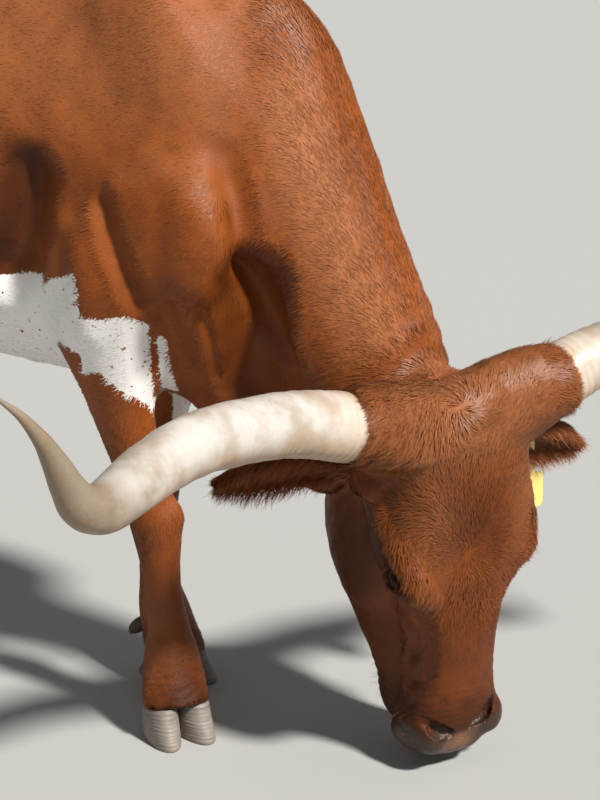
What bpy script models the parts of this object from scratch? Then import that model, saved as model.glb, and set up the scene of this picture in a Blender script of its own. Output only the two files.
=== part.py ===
"""A grazing longhorn steer as solid, life-size parts.

Metres, +Z up. While it is drawn the animal walks along +X with its left side on +Y, and the sole
of the right front foot stands at (0, -0.11, 0). The last step moves the whole so that the middle
of its box is over the origin, with the soles at zero.
"""

import bpy
import bmesh
import math
import numpy as np
from mathutils import Matrix, Vector
from mathutils.bvhtree import BVHTree

GAP = 0.0003                      # clear space between two parts that meet
BODY_VOXEL = 0.0075               # grid of the trunk and legs before they are thinned
HEAD_VOXEL = 0.0042               # finer grid of the head
FIRST_THINNING = 11500            # triangles of the whole body before its trunk is thinned again
BODY_TRIANGLES = 6000
HEAD_TRIANGLES = 1900

WITHERS_HEIGHT = 1.395
BACK_HEIGHT = 1.368
POLL = (0.572, -0.042, 0.662)     # top of the head, where its own measures start
HEAD_YAW = math.radians(-21.0)    # turned to the animal's right
HEAD_LEAN = math.radians(6.0)     # muzzle drawn back toward the feet
HEAD_ROLL = math.radians(6.5)     # left side carried higher

NECK_SEAM = (0.200, 0.0, 0.980)   # a point of the seam of neck and trunk, and its direction
NECK_SEAM_TOWARD = (0.982, 0.0, 0.187)

FRONT_RIGHT = (0.0, -0.11)        # where the feet stand
FOOT_TURN = math.radians(-28.0)   # the right front foot points out to the animal's right
FRONT_LEFT = (-0.150, 0.070)
HIND_RIGHT = (-1.235, -0.15)
HIND_LEFT = (-1.06, 0.15)

LEG_TOP = 0.575                   # seam of a front leg and the trunk
THIGH_SEAM = 0.70                 # seam of a hind leg and the trunk
HORN_DROOP = 0.14                 # fall of the left horn over its reach, against the right one
EYE_RADIUS = 0.0210
EYE_AT = (0.272, 0.114, -0.066)   # down from the poll, out to the side, forward
NOSE_ASIDE = -0.012               # the middle of the muzzle, drawn to the right as it grazes
LID_LENGTH = 0.050
LID_OPENING = 0.028
EAR_WIDTH = 0.125
EAR_CURL = 1.45                   # half the turn of the ear's cup
EAR_RIGHT = ((0.092, 0.140, -0.130), (0.066, 0.380, -0.182))   # root and tip on the head
EAR_LEFT = ((0.130, 0.140, -0.128), (0.210, 0.350, -0.178))
EAR_LOCKS = 8
SWITCH_LOCKS = 17
SWITCH_LENGTH = 0.36
TAG_WIDTH = 0.056
TAG_HEIGHT = 0.068
TAG_THICK = 0.0024
TAG_NECK = 0.014
TAG_HANG = 0.066                  # from its pin down to the plate
TAG_PIN = 0.0035
TAG_ALONG_EAR = 0.60              # where the pin goes through, from the ear's root to its tip

COAT = (0.33, 0.115, 0.045)
HORN = (0.78, 0.70, 0.58)
HOOF = (0.26, 0.24, 0.23)
EYE = (0.02, 0.014, 0.012)
TAG = (0.93, 0.82, 0.07)
SWITCH = (0.20, 0.075, 0.04)

LEFT = np.array((0.0, 1.0, 0.0))
chance = np.random.default_rng(27)


for old in list(bpy.data.objects):
    bpy.data.objects.remove(old, do_unlink=True)
parts = bpy.data.collections.new("longhorn_steer")
tools = bpy.data.collections.new("cutters")
bpy.context.scene.collection.children.link(parts)
bpy.context.scene.collection.children.link(tools)


def material(name, colour, rough):
    """A plain Principled material."""
    made = bpy.data.materials.new(name)
    made.use_nodes = True
    shader = made.node_tree.nodes["Principled BSDF"]
    shader.inputs["Base Color"].default_value = (*colour, 1.0)
    shader.inputs["Roughness"].default_value = rough
    return made


def new_object(name, points, faces, home=tools):
    """A mesh object from points and faces, cut to triangles and turned outward."""
    mesh = bpy.data.meshes.new(name)
    mesh.from_pydata([tuple(map(float, p)) for p in points], [], faces)
    work = bmesh.new()
    work.from_mesh(mesh)
    bmesh.ops.triangulate(work, faces=work.faces)
    bmesh.ops.recalc_face_normals(work, faces=work.faces)
    if work.calc_volume(signed=True) < 0:
        bmesh.ops.reverse_faces(work, faces=work.faces)
    work.to_mesh(mesh)
    work.free()
    made = bpy.data.objects.new(name, mesh)
    home.objects.link(made)
    return made


def smooth_rows(table, count):
    """Rows between the rows of a table, on a smooth curve that passes through them."""
    rows = np.asarray(table, float)
    steps = np.linalg.norm(np.diff(rows[:, :4], axis=0), axis=1)
    knots = np.concatenate([[0.0], np.cumsum(steps)])
    slopes = np.gradient(rows, knots, axis=0)
    at = np.linspace(0.0, knots[-1], count)
    k = np.clip(np.searchsorted(knots, at, side="right") - 1, 0, len(knots) - 2)
    span = (knots[k + 1] - knots[k])[:, None]
    u = (at - knots[k])[:, None] / span
    return ((2 * u**3 - 3 * u**2 + 1) * rows[k] + (u**3 - 2 * u**2 + u) * span * slopes[k]
            + (3 * u**2 - 2 * u**3) * rows[k + 1] + (u**3 - u**2) * span * slopes[k + 1])


def power_wave(wave, exponent):
    """A sine or cosine flattened or sharpened as in a superellipse."""
    return np.sign(wave) * np.abs(wave) ** (2.0 / exponent)


def skin_rings(name, rings, home=tools):
    """A closed skin over a row of rings that have equal counts."""
    count = len(rings[0])
    points = np.concatenate(rings)
    faces = []
    for row in range(len(rings) - 1):
        for i in range(count):
            j = (i + 1) % count
            faces.append((row * count + i, row * count + j, (row + 1) * count + j, (row + 1) * count + i))
    faces.append(tuple(range(count))[::-1])
    faces.append(tuple(range((len(rings) - 1) * count, len(rings) * count)))
    return new_object(name, points, faces, home)


def profile_loft(name, table, rings=24, around=28, home=tools):
    """A form given by its profile, as rows of
    (front x, front z, back x, back z, middle y, half width, level, n_front, n_back).

    Each section runs from the back point to the front point. It is widest at the level, a share
    of that way, and n shapes each end of it as the power of a superellipse.
    """
    turn = np.linspace(0.0, 2.0 * math.pi, around, endpoint=False) + math.pi / around
    made = []
    for fx, fz, bx, bz, y, half, level, n_front, n_back in smooth_rows(table, rings):
        front = np.array((fx, y, fz))
        back = np.array((bx, y, bz))
        middle = back + (front - back) * level
        rise = np.where(np.sin(turn) >= 0, 1.0 - level, level)
        n = np.where(np.sin(turn) >= 0, n_front, n_back)
        along = power_wave(np.sin(turn), n) * rise
        aside = power_wave(np.cos(turn), n) * half
        made.append(middle + along[:, None] * (front - back) + aside[:, None] * LEFT)
    return skin_rings(name, made, home)


def trunk_loft(name, table, rings=40, around=36):
    """Upright sections, as rows of (x, top, bottom, half width, level, n_top, n_bottom)."""
    rows = [(x, top, x, low, 0.0, half, level, nt, nl) for x, top, low, half, level, nt, nl in table]
    return profile_loft(name, rows, rings, around)


def stand_at(place, foot, z):
    """How far a leg is carried from where it is drawn to its own foot, at a height. The leg turns
    at the shoulder or the hip, so its top stays where it is."""
    share = min(max((z - 0.40) / 0.60, 0.0), 1.0)
    share = 1.0 - share * share * (3.0 - 2.0 * share)
    side = 1.0 if foot[1] > 0 else -1.0
    return (place[0] + (foot[0] - place[0]) * share,
            -side * place[1] + (foot[1] + side * place[1]) * share)


def limb_loft(name, table, place, foot):
    """Level sections down a limb, as rows of (x, y, z, fore-and-aft radius, side radius)."""
    rows = []
    for x, y, z, r, s in table:
        x0, y0 = stand_at(place, foot, z)
        rows.append((x0 + x + r, z, x0 + x - r, z, y0 + y, s, 0.5, 2.1, 2.1))
    return profile_loft(name, rows, 60, 20)


def tube(name, table, flat=(0.0, 0.0, 1.0), rings=20, around=16, home=tools):
    """A form swept on a path, as rows of (x, y, z, radius on the flat, radius across it)."""
    rows = smooth_rows(table, rings)
    path = rows[:, :3]
    ahead = np.gradient(path, axis=0)
    ahead /= np.linalg.norm(ahead, axis=1)[:, None]
    turn = np.linspace(0.0, 2.0 * math.pi, around, endpoint=False)
    side = np.cross(ahead[0], np.array(flat, float))
    made = []
    for row, forward in zip(rows, ahead):
        side = side - forward * (side @ forward)
        side /= np.linalg.norm(side)
        lift = np.cross(side, forward)
        made.append(row[:3] + np.cos(turn)[:, None] * side * row[3] + np.sin(turn)[:, None] * lift * row[4])
    return skin_rings(name, made, home)


def mass(name, centre, radii, tilt=0.0, segments=20):
    """A muscle or a bone end: a ball stretched to three radii and tilted about the Y axis."""
    mesh = bpy.data.meshes.new(name)
    work = bmesh.new()
    bmesh.ops.create_uvsphere(work, u_segments=segments, v_segments=segments // 2, radius=1.0)
    work.to_mesh(mesh)
    work.free()
    place = Matrix.Translation(centre) @ Matrix.Rotation(tilt, 4, "Y") @ Matrix.Diagonal((*radii, 1.0))
    mesh.transform(place)
    made = bpy.data.objects.new(name, mesh)
    tools.objects.link(made)
    return made


def both(name, centre, radii, tilt=0.0):
    """The same mass on the right side and on the left."""
    x, y, z = centre
    return [mass(name + "_r", (x, -y, z), radii, tilt), mass(name + "_l", (x, y, z), radii, tilt)]


def apply_modifiers(thing):
    """The object's modifiers turned into plain mesh."""
    seen = thing.evaluated_get(bpy.context.evaluated_depsgraph_get())
    mesh = bpy.data.meshes.new_from_object(seen)
    thing.modifiers.clear()
    old = thing.data
    thing.data = mesh
    bpy.data.meshes.remove(old)


def drop(things):
    """Take helper objects out of the file."""
    for thing in things:
        bpy.data.objects.remove(thing, do_unlink=True)


def fuse(name, pieces, voxel):
    """One skin over several overlapping forms."""
    work = bmesh.new()
    for piece in pieces:
        work.from_mesh(piece.data)
    mesh = bpy.data.meshes.new(name)
    work.to_mesh(mesh)
    work.free()
    drop(pieces)
    made = bpy.data.objects.new(name, mesh)
    parts.objects.link(made)
    grid = made.modifiers.new("one skin", "REMESH")
    grid.mode = "VOXEL"
    grid.voxel_size = voxel
    apply_modifiers(made)
    return made


def soften(thing, rounds, weight):
    """Ease the joins between forms; weight gives how much at each point, from 0 to 1."""
    group = thing.vertex_groups.new(name="ease")
    points = np.empty(len(thing.data.vertices) * 3)
    thing.data.vertices.foreach_get("co", points)
    amounts = np.clip(weight(points.reshape(-1, 3)), 0.0, 1.0)
    levels = np.round(amounts * 20).astype(int)
    for level in np.unique(levels):
        group.add(np.nonzero(levels == level)[0].tolist(), level / 20.0, "REPLACE")
    ease = thing.modifiers.new("ease", "SMOOTH")
    ease.factor = 0.5
    ease.iterations = rounds
    ease.vertex_group = "ease"
    apply_modifiers(thing)
    thing.vertex_groups.clear()


def thin_out(thing, triangles, where=None):
    """Fewer triangles, kept where the form turns most, or taken only where a test of the point
    says so."""
    faces = sum(len(face.vertices) - 2 for face in thing.data.polygons)
    fewer = thing.modifiers.new("fewer", "DECIMATE")
    fewer.ratio = min(1.0, triangles / faces)
    fewer.use_collapse_triangulate = True
    if where is not None:
        group = thing.vertex_groups.new(name="plain")
        group.add([v.index for v in thing.data.vertices if where(v.co)], 1.0, "REPLACE")
        fewer.vertex_group = "plain"
    apply_modifiers(thing)
    thing.vertex_groups.clear()


def boolean(thing, cutter, operation, keep_cutter=False):
    """A Boolean step, applied at once."""
    step = thing.modifiers.new("cut", "BOOLEAN")
    step.operation = operation
    step.solver = "EXACT"
    step.object = cutter
    apply_modifiers(thing)
    if not keep_cutter:
        drop([cutter])


def plane_cut(thing, point, toward):
    """Keep what lies on the side a plane's normal points to, less half the gap."""
    normal = Vector(toward).normalized()
    work = bmesh.new()
    work.from_mesh(thing.data)
    bmesh.ops.bisect_plane(work, geom=work.verts[:] + work.edges[:] + work.faces[:], dist=1e-7,
                           plane_co=Vector(point) + normal * GAP / 2, plane_no=normal,
                           clear_inner=True, clear_outer=False)
    rim = [edge for edge in work.edges if edge.is_boundary]
    bmesh.ops.contextual_create(work, geom=rim)
    bmesh.ops.recalc_face_normals(work, faces=work.faces)
    work.to_mesh(thing.data)
    work.free()


def twin(thing, name):
    """A second copy of an object."""
    made = bpy.data.objects.new(name, thing.data.copy())
    parts.objects.link(made)
    return made


def box(name, low, high):
    """A box from its low corner to its high corner."""
    (x0, y0, z0), (x1, y1, z1) = low, high
    points = [(x, y, z) for x in (x0, x1) for y in (y0, y1) for z in (z0, z1)]
    faces = [(0, 1, 3, 2), (4, 6, 7, 5), (0, 4, 5, 1), (2, 3, 7, 6), (0, 2, 6, 4), (1, 5, 7, 3)]
    return new_object(name, points, faces)


def seat(host, guest):
    """Take from the host the room of a guest that it meets, a gap larger all round."""
    room = bpy.data.objects.new("room", guest.data.copy())
    tools.objects.link(room)
    grow = room.modifiers.new("grow", "DISPLACE")
    grow.strength = GAP * 1.6
    grow.mid_level = 0.0
    apply_modifiers(room)
    boolean(host, room, "DIFFERENCE")


def largest_body(thing):
    """Keep the largest closed surface of an object."""
    work = bmesh.new()
    work.from_mesh(thing.data)
    left = set(work.verts)
    bodies = []
    while left:
        start = left.pop()
        body = {start}
        edge = [start]
        while edge:
            for link in edge.pop().link_edges:
                for vert in link.verts:
                    if vert in left:
                        left.remove(vert)
                        body.add(vert)
                        edge.append(vert)
        bodies.append(body)
    bodies.sort(key=len)
    for body in bodies[:-1]:
        bmesh.ops.delete(work, geom=list(body), context="VERTS")
    work.to_mesh(thing.data)
    work.free()


# The head has a frame of its own: a runs down the face from the poll, w to its left and h forward
# out of the forehead. It is drawn with a as -Z, w as +Y and h as +X, then hung on the neck.
def head_place():
    """The turn and place of the head on the animal."""
    level = Vector((math.cos(HEAD_YAW), math.sin(HEAD_YAW), 0.0))
    aside = Vector((-math.sin(HEAD_YAW), math.cos(HEAD_YAW), 0.0))
    down = -Vector((0.0, 0.0, 1.0)) * math.cos(HEAD_LEAN) - level * math.sin(HEAD_LEAN)
    out = level * math.cos(HEAD_LEAN) - Vector((0.0, 0.0, 1.0)) * math.sin(HEAD_LEAN)
    left = aside * math.cos(HEAD_ROLL) - down * math.sin(HEAD_ROLL)
    fall = down * math.cos(HEAD_ROLL) + aside * math.sin(HEAD_ROLL)
    turn = Matrix((out, left, -fall)).transposed().to_4x4()
    return Matrix.Translation(POLL) @ turn


def on_head(a, w, h):
    """A point given down the face, to the left and forward."""
    return (h, w, -a)


def trunk_forms():
    """The barrel, the rump and the masses that lie on them."""
    forms = [trunk_loft("barrel", (
        (-1.425, 1.270, 1.020, 0.085, 0.60, 2.0, 2.0),
        (-1.370, 1.325, 0.930, 0.165, 0.60, 2.0, 2.0),
        (-1.250, 1.362, 0.835, 0.222, 0.62, 1.9, 2.0),
        (-1.100, 1.377, 0.785, 0.252, 0.64, 1.9, 2.1),
        (-0.950, BACK_HEIGHT + 0.006, 0.745, 0.262, 0.58, 1.9, 2.1),
        (-0.800, BACK_HEIGHT, 0.700, 0.278, 0.50, 1.8, 2.2),
        (-0.620, BACK_HEIGHT, 0.648, 0.300, 0.46, 1.9, 2.2),
        (-0.420, BACK_HEIGHT, 0.622, 0.305, 0.46, 1.9, 2.2),
        (-0.240, 1.376, 0.612, 0.280, 0.48, 1.8, 2.2),
        (-0.060, WITHERS_HEIGHT, 0.600, 0.240, 0.48, 1.7, 2.1),
        (0.060, 1.380, 0.598, 0.212, 0.45, 1.7, 2.0),
        (0.160, 1.325, 0.608, 0.180, 0.42, 1.7, 1.9),
        (0.235, 1.220, 0.660, 0.120, 0.45, 1.8, 1.9)))]
    forms.append(profile_loft("neck", (
        (0.000, 1.390, 0.040, 0.600, 0.000, 0.215, 0.45, 1.6, 1.9),
        (0.150, 1.335, 0.110, 0.590, 0.000, 0.180, 0.44, 1.6, 1.8),
        (0.240, 1.262, 0.155, 0.578, 0.002, 0.152, 0.44, 1.7, 1.7),
        (0.298, 1.135, 0.190, 0.562, 0.006, 0.130, 0.45, 1.8, 1.7),
        (0.353, 1.000, 0.215, 0.540, 0.012, 0.114, 0.48, 1.9, 1.7),
        (0.402, 0.880, 0.236, 0.514, 0.020, 0.106, 0.50, 2.0, 1.7),
        (0.446, 0.770, 0.258, 0.494, 0.030, 0.100, 0.52, 2.1, 1.8),
        (0.468, 0.705, 0.305, 0.505, 0.036, 0.086, 0.54, 2.2, 2.0)), 30, 32))
    forms += both("shoulder blade", (0.015, 0.125, 1.110), (0.150, 0.078, 0.270), math.radians(-22))
    forms += both("upper arm", (0.020, 0.172, 0.930), (0.195, 0.092, 0.160), math.radians(12))
    forms += both("shoulder point", (0.145, 0.155, 0.905), (0.080, 0.062, 0.100))
    forms += both("elbow", (-0.100, 0.200, 0.800), (0.050, 0.048, 0.080))
    forms += both("hook", (-1.010, 0.188, 1.250), (0.150, 0.056, 0.085))
    forms += both("pin", (-1.390, 0.085, 1.200), (0.060, 0.042, 0.060))
    forms += both("thigh", (-1.165, 0.150, 1.020), (0.250, 0.112, 0.270), math.radians(14))
    forms += both("stifle", (-1.050, 0.178, 0.830), (0.100, 0.066, 0.130), math.radians(-15))
    forms += both("hamstring", (-1.305, 0.100, 0.960), (0.090, 0.082, 0.210), math.radians(-8))
    forms += both("flank fold", (-0.920, 0.160, 0.825), (0.150, 0.042, 0.085), math.radians(25))
    forms.append(mass("brisket", (0.100, 0.0, 0.655), (0.125, 0.095, 0.105)))
    forms.append(mass("sheath", (-0.700, 0.0, 0.660), (0.090, 0.034, 0.040), math.radians(-6)))
    forms.append(mass("tail head", (-1.405, 0.0, 1.315), (0.080, 0.042, 0.038), math.radians(30)))
    return forms


def dewlap():
    """The thin fold of skin under the throat and between the forelegs, in soft waves."""
    rows = []
    for step in range(9):
        u = step / 8.0
        x = -0.05 + 0.37 * u
        hang = 0.050 * math.sin(math.pi * u) ** 0.7
        top = 0.660 - 0.120 * u
        low = 0.604 - 0.125 * u - hang
        wave = -0.034 * u + 0.010 * math.sin(11.0 * u) * math.sin(math.pi * u)
        rows.append((x, top, x - 0.02, low, wave, 0.036 - 0.010 * u, 0.6, 2.0, 1.6))
    return profile_loft("dewlap", rows, 26, 20)


FRONT_LEG = (
    (0.000, -0.080, 0.960, 0.140, 0.062), (-0.050, -0.092, 0.830, 0.128, 0.076),
    (-0.072, -0.080, 0.730, 0.100, 0.070), (-0.068, -0.056, 0.630, 0.073, 0.058),
    (-0.052, -0.032, 0.520, 0.053, 0.047), (-0.043, -0.014, 0.455, 0.0455, 0.0435),
    (-0.033, -0.004, 0.400, 0.0520, 0.0490), (-0.030, 0.000, 0.355, 0.0455, 0.0430),
    (-0.028, 0.002, 0.310, 0.0390, 0.0370), (-0.027, 0.004, 0.246, 0.0375, 0.0355),
    (-0.021, 0.004, 0.192, 0.0425, 0.0410), (-0.014, 0.002, 0.150, 0.0500, 0.0530),
    (-0.002, 0.000, 0.105, 0.0510, 0.0590), (0.010, 0.000, 0.072, 0.0540, 0.0620),
    (0.016, 0.000, 0.045, 0.0530, 0.0610))

HIND_LEG = (
    (0.120, -0.015, 1.090, 0.220, 0.105), (0.128, -0.035, 0.950, 0.205, 0.108),
    (0.135, -0.040, 0.840, 0.160, 0.096), (0.072, -0.034, 0.730, 0.110, 0.072),
    (-0.005, -0.020, 0.630, 0.075, 0.053), (-0.064, -0.010, 0.560, 0.062, 0.044),
    (-0.090, -0.004, 0.500, 0.058, 0.0435), (-0.078, -0.002, 0.430, 0.046, 0.0385),
    (-0.066, 0.000, 0.350, 0.0355, 0.0325), (-0.056, 0.000, 0.262, 0.0340, 0.0310),
    (-0.046, 0.000, 0.195, 0.0370, 0.0345), (-0.034, 0.000, 0.152, 0.0430, 0.0410),
    (-0.014, 0.000, 0.105, 0.0410, 0.0430), (0.002, 0.000, 0.072, 0.0470, 0.0510),
    (0.010, 0.000, 0.045, 0.0490, 0.0520))


def mirrored(table):
    """A right limb's rows for the left side."""
    return [(x, -y, z, r, s) for x, y, z, r, s in table]


def leg_mass(name, place, foot, centre, radii, tilt=0.0):
    """A bone end or a tendon on a leg, carried with it."""
    x0, y0 = stand_at(place, foot, centre[2])
    return mass(name, (x0 + centre[0], y0 + centre[1], centre[2]), radii, tilt)


def front_leg(foot):
    """A front leg from the shoulder down, with the knee, the fetlock and the tendons behind."""
    out = 1.0 if foot[1] > 0 else -1.0
    table = FRONT_LEG if out < 0 else mirrored(FRONT_LEG)
    return [limb_loft("front leg", table, FRONT_RIGHT, foot),
            leg_mass("knee cap", FRONT_RIGHT, foot, (-0.005, 0.0, 0.402), (0.030, 0.036, 0.040)),
            leg_mass("knee side", FRONT_RIGHT, foot, (-0.040, out * 0.012, 0.410), (0.032, 0.042, 0.030)),
            leg_mass("tendon", FRONT_RIGHT, foot, (-0.052, 0.0, 0.265), (0.013, 0.020, 0.100),
                     math.radians(-3)),
            leg_mass("ankle back", FRONT_RIGHT, foot, (-0.042, 0.0, 0.140), (0.022, 0.036, 0.026))]


def hind_leg(foot):
    """A hind leg from the hip down, with the hock drawn back to its point."""
    out = 1.0 if foot[1] > 0 else -1.0
    table = HIND_LEG if out < 0 else mirrored(HIND_LEG)
    tendon = []
    for x, y, z, r, s in ((-0.010, 0.022, 0.740, 0.040, 0.030), (-0.080, 0.014, 0.660, 0.024, 0.020),
                          (-0.126, 0.006, 0.590, 0.019, 0.018), (-0.146, 0.002, 0.552, 0.024, 0.023),
                          (-0.138, 0.000, 0.500, 0.020, 0.024), (-0.112, 0.000, 0.420, 0.014, 0.020)):
        x0, y0 = stand_at(HIND_RIGHT, foot, z)
        tendon.append((x0 + x, y0 + out * y, z, r, s))
    return [limb_loft("hind leg", table, HIND_RIGHT, foot),
            tube("hamstring cord", tendon, (0.0, 1.0, 0.0), 24, 14),
            leg_mass("hock side", HIND_RIGHT, foot, (-0.088, 0.0, 0.500), (0.042, 0.046, 0.036)),
            leg_mass("tendon", HIND_RIGHT, foot, (-0.092, 0.0, 0.290), (0.014, 0.020, 0.115),
                     math.radians(-8)),
            leg_mass("ankle back", HIND_RIGHT, foot, (-0.066, 0.0, 0.142), (0.022, 0.035, 0.026))]


def head_forms():
    """The skull, the jaw, the brows, the cheeks and the muzzle, drawn in the head's frame."""
    forms = [profile_loft("skull", [
        (ht, -a, hb, -a, 0.0, half, level, nt, nb) for a, ht, hb, half, level, nt, nb in (
            (-0.034, -0.058, -0.120, 0.070, 0.50, 2.0, 2.0),
            (-0.024, -0.030, -0.145, 0.105, 0.55, 2.2, 2.0),
            (0.018, -0.008, -0.175, 0.128, 0.60, 2.4, 2.0),
            (0.075, 0.006, -0.205, 0.130, 0.62, 2.6, 2.0),
            (0.150, 0.010, -0.220, 0.135, 0.66, 2.8, 2.0),
            (0.215, 0.008, -0.225, 0.140, 0.70, 2.8, 2.0),
            (0.258, 0.003, -0.222, 0.136, 0.72, 2.7, 2.0),
            (0.300, -0.002, -0.216, 0.112, 0.72, 2.7, 2.0),
            (0.350, -0.008, -0.205, 0.093, 0.70, 2.5, 2.1),
            (0.430, -0.016, -0.185, 0.079, 0.66, 2.4, 2.2),
            (0.505, -0.024, -0.168, 0.077, 0.62, 2.4, 2.3),
            (0.562, -0.030, -0.164, 0.087, 0.58, 2.4, 2.4),
            (0.600, -0.038, -0.164, 0.097, 0.56, 2.4, 2.4),
            (0.632, -0.056, -0.156, 0.088, 0.55, 2.3, 2.3),
            (0.650, -0.080, -0.136, 0.057, 0.55, 2.2, 2.2))], 44, 32)]
    forms.append(profile_loft("jaw", [
        (ht, -a, hb, -a, 0.0, half, level, nt, nb) for a, ht, hb, half, level, nt, nb in (
            (0.110, -0.130, -0.260, 0.072, 0.50, 2.2, 2.2),
            (0.170, -0.120, -0.334, 0.094, 0.50, 2.2, 2.4),
            (0.235, -0.110, -0.368, 0.103, 0.50, 2.3, 2.5),
            (0.310, -0.100, -0.375, 0.100, 0.48, 2.4, 2.6),
            (0.370, -0.090, -0.360, 0.092, 0.48, 2.4, 2.6),
            (0.430, -0.090, -0.327, 0.082, 0.48, 2.4, 2.6),
            (0.490, -0.095, -0.286, 0.074, 0.48, 2.4, 2.5),
            (0.550, -0.100, -0.247, 0.069, 0.50, 2.3, 2.4),
            (0.600, -0.110, -0.234, 0.069, 0.50, 2.3, 2.3),
            (0.632, -0.125, -0.214, 0.050, 0.50, 2.2, 2.2))], 34, 26))
    for side in (-1.0, 1.0):
        droop = HORN_DROOP if side > 0 else 0.0
        forms.append(tube("horn stub", [
            (*on_head(a + droop * w, side * w, h), r, r) for a, w, h, r in (
                (0.040, 0.030, -0.080, 0.084), (0.018, 0.095, -0.074, 0.080),
                (-0.006, 0.150, -0.069, 0.073), (-0.016, 0.190, -0.067, 0.0675),
                (-0.023, 0.214, -0.065, 0.0655))], (1.0, 0.0, 0.0), 12, 24))
        forms.append(mass("brow", on_head(0.252, side * 0.097, -0.048), (0.047, 0.044, 0.064)))
        forms.append(mass("orbit", on_head(0.262, side * 0.092, -0.078), (0.050, 0.046, 0.054)))
        forms.append(mass("cheek", on_head(0.295, side * 0.082, -0.215), (0.105, 0.034, 0.120)))
        forms.append(mass("temple", on_head(0.140, side * 0.098, -0.110), (0.080, 0.040, 0.100)))
        forms.append(tube("cheek ridge", [
            (*on_head(0.290, side * 0.098, -0.085), 0.020, 0.022),
            (*on_head(0.360, side * 0.082, -0.100), 0.017, 0.020),
            (*on_head(0.430, side * 0.068, -0.104), 0.012, 0.014)], (1.0, 0.0, 0.0), 10, 14))
        forms.append(mass("nostril wing", on_head(0.596, side * 0.058, -0.060), (0.032, 0.034, 0.038)))
        forms.append(mass("upper lip", on_head(0.606, side * 0.058, -0.118), (0.040, 0.040, 0.036)))
        forms.append(tube("ear root", [
            (*on_head(0.110, side * 0.095, -0.120), 0.052, 0.052),
            (*on_head(0.106, side * 0.130, -0.128), 0.043, 0.040),
            (*on_head(0.102, side * 0.160, -0.134), 0.034, 0.030)], (1.0, 0.0, 0.0), 8, 16))
    forms.append(mass("nose pad", on_head(0.622, 0.0, -0.082), (0.046, 0.072, 0.034)))
    forms.append(mass("chin", on_head(0.605, 0.0, -0.190), (0.036, 0.048, 0.036)))
    forms.append(mass("poll tuft", on_head(0.004, 0.0, -0.066), (0.070, 0.120, 0.045)))
    return forms


def eye_lids(side):
    """An upper and a lower lid as one almond ring, laid on the ball of the eye."""
    out = np.array((0.38, side * 0.90, -0.20))
    out /= np.linalg.norm(out)
    along = np.array((0.30, 0.0, -0.95))
    along -= out * (along @ out)
    along /= np.linalg.norm(along)
    across = np.cross(out, along) * side
    middle = np.array(on_head(EYE_AT[0], side * EYE_AT[1], EYE_AT[2]))
    rows = []
    for step in range(13):
        turn = 2.0 * math.pi * step / 12.0
        x = LID_LENGTH / 2 * math.cos(turn)
        y = LID_OPENING / 2 * math.sin(turn) * (1.0 - 0.25 * math.cos(turn) ** 2)
        rise = math.sqrt(max((EYE_RADIUS + 0.0040) ** 2 - x * x - y * y, 0.00012))
        thick = 0.0056 + 0.0022 * max(-math.sin(turn), 0.0)
        rows.append((*(middle + along * x + across * y + out * rise), thick, thick))
    return ring_tube("lids", rows, 6)


def ring_tube(name, table, around):
    """A tube whose ends meet, as a closed ring."""
    rows = np.array(table)[:-1]
    path = rows[:, :3]
    ahead = np.roll(path, -1, axis=0) - np.roll(path, 1, axis=0)
    ahead /= np.linalg.norm(ahead, axis=1)[:, None]
    out = path - path.mean(axis=0)
    turn = np.linspace(0.0, 2.0 * math.pi, around, endpoint=False)
    points = []
    for row, forward, away in zip(rows, ahead, out):
        away = away - forward * (away @ forward)
        away /= np.linalg.norm(away)
        lift = np.cross(forward, away)
        for angle in turn:
            points.append(row[:3] + (math.cos(angle) * away + math.sin(angle) * lift) * row[3])
    count = len(rows)
    faces = []
    for r in range(count):
        for i in range(around):
            j = (i + 1) % around
            n = (r + 1) % count
            faces.append((r * around + i, r * around + j, n * around + j, n * around + i))
    return new_object(name, points, faces)


def skin_spots(thing, points, aim):
    """Where lines from outside points along one direction first meet an object."""
    work = bmesh.new()
    work.from_mesh(thing.data)
    tree = BVHTree.FromBMesh(work)
    work.free()
    return [np.array(tree.ray_cast(Vector(point), Vector(aim))[0]) for point in points]


def nostril(thing, side):
    """A comma-shaped hollow in the muzzle: wide toward the middle of the nose, drawn out and back
    to the side."""
    course = ((0.592, 0.022, 0.0070), (0.588, 0.033, 0.0120), (0.579, 0.047, 0.0130),
              (0.566, 0.060, 0.0090), (0.554, 0.070, 0.0045))
    starts = [on_head(a, side * w + NOSE_ASIDE, 0.3) for a, w, _ in course]
    spots = skin_spots(thing, starts, (-1.0, 0.0, 0.0))
    rows = [(*(spot - (0.25 * r, 0.0, 0.0)), r, r * 0.9) for spot, (_, _, r) in zip(spots, course)]
    return tube("nostril", rows, (0.0, 0.0, 1.0), 7, 8)


def mouth_line():
    """The slit between the lips, a thin curved wedge that runs round the muzzle."""
    rings = []
    for step in range(9):
        turn = -1.0 + 2.0 * step / 8.0
        w = 0.106 * math.sin(turn * 1.35) / math.sin(1.35)
        back = abs(turn) ** 1.6
        a = 0.658 - 0.130 * back
        h = -0.158 + 0.002 * back
        inward = np.array((0.0, -w * 0.62, 0.0)) + np.array((0.0, 0.0, 0.055 * (1.0 - back * 0.7)))
        edge = np.array(on_head(a + 0.012 * (1.0 - back), w, h))
        root = edge + inward
        thick = np.array((0.0032, 0.0, 0.0))
        rings.append(np.array((edge + thick, edge - thick, root - thick * 0.2, root + thick * 0.2)))
    return skin_rings("mouth line", rings)


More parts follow.
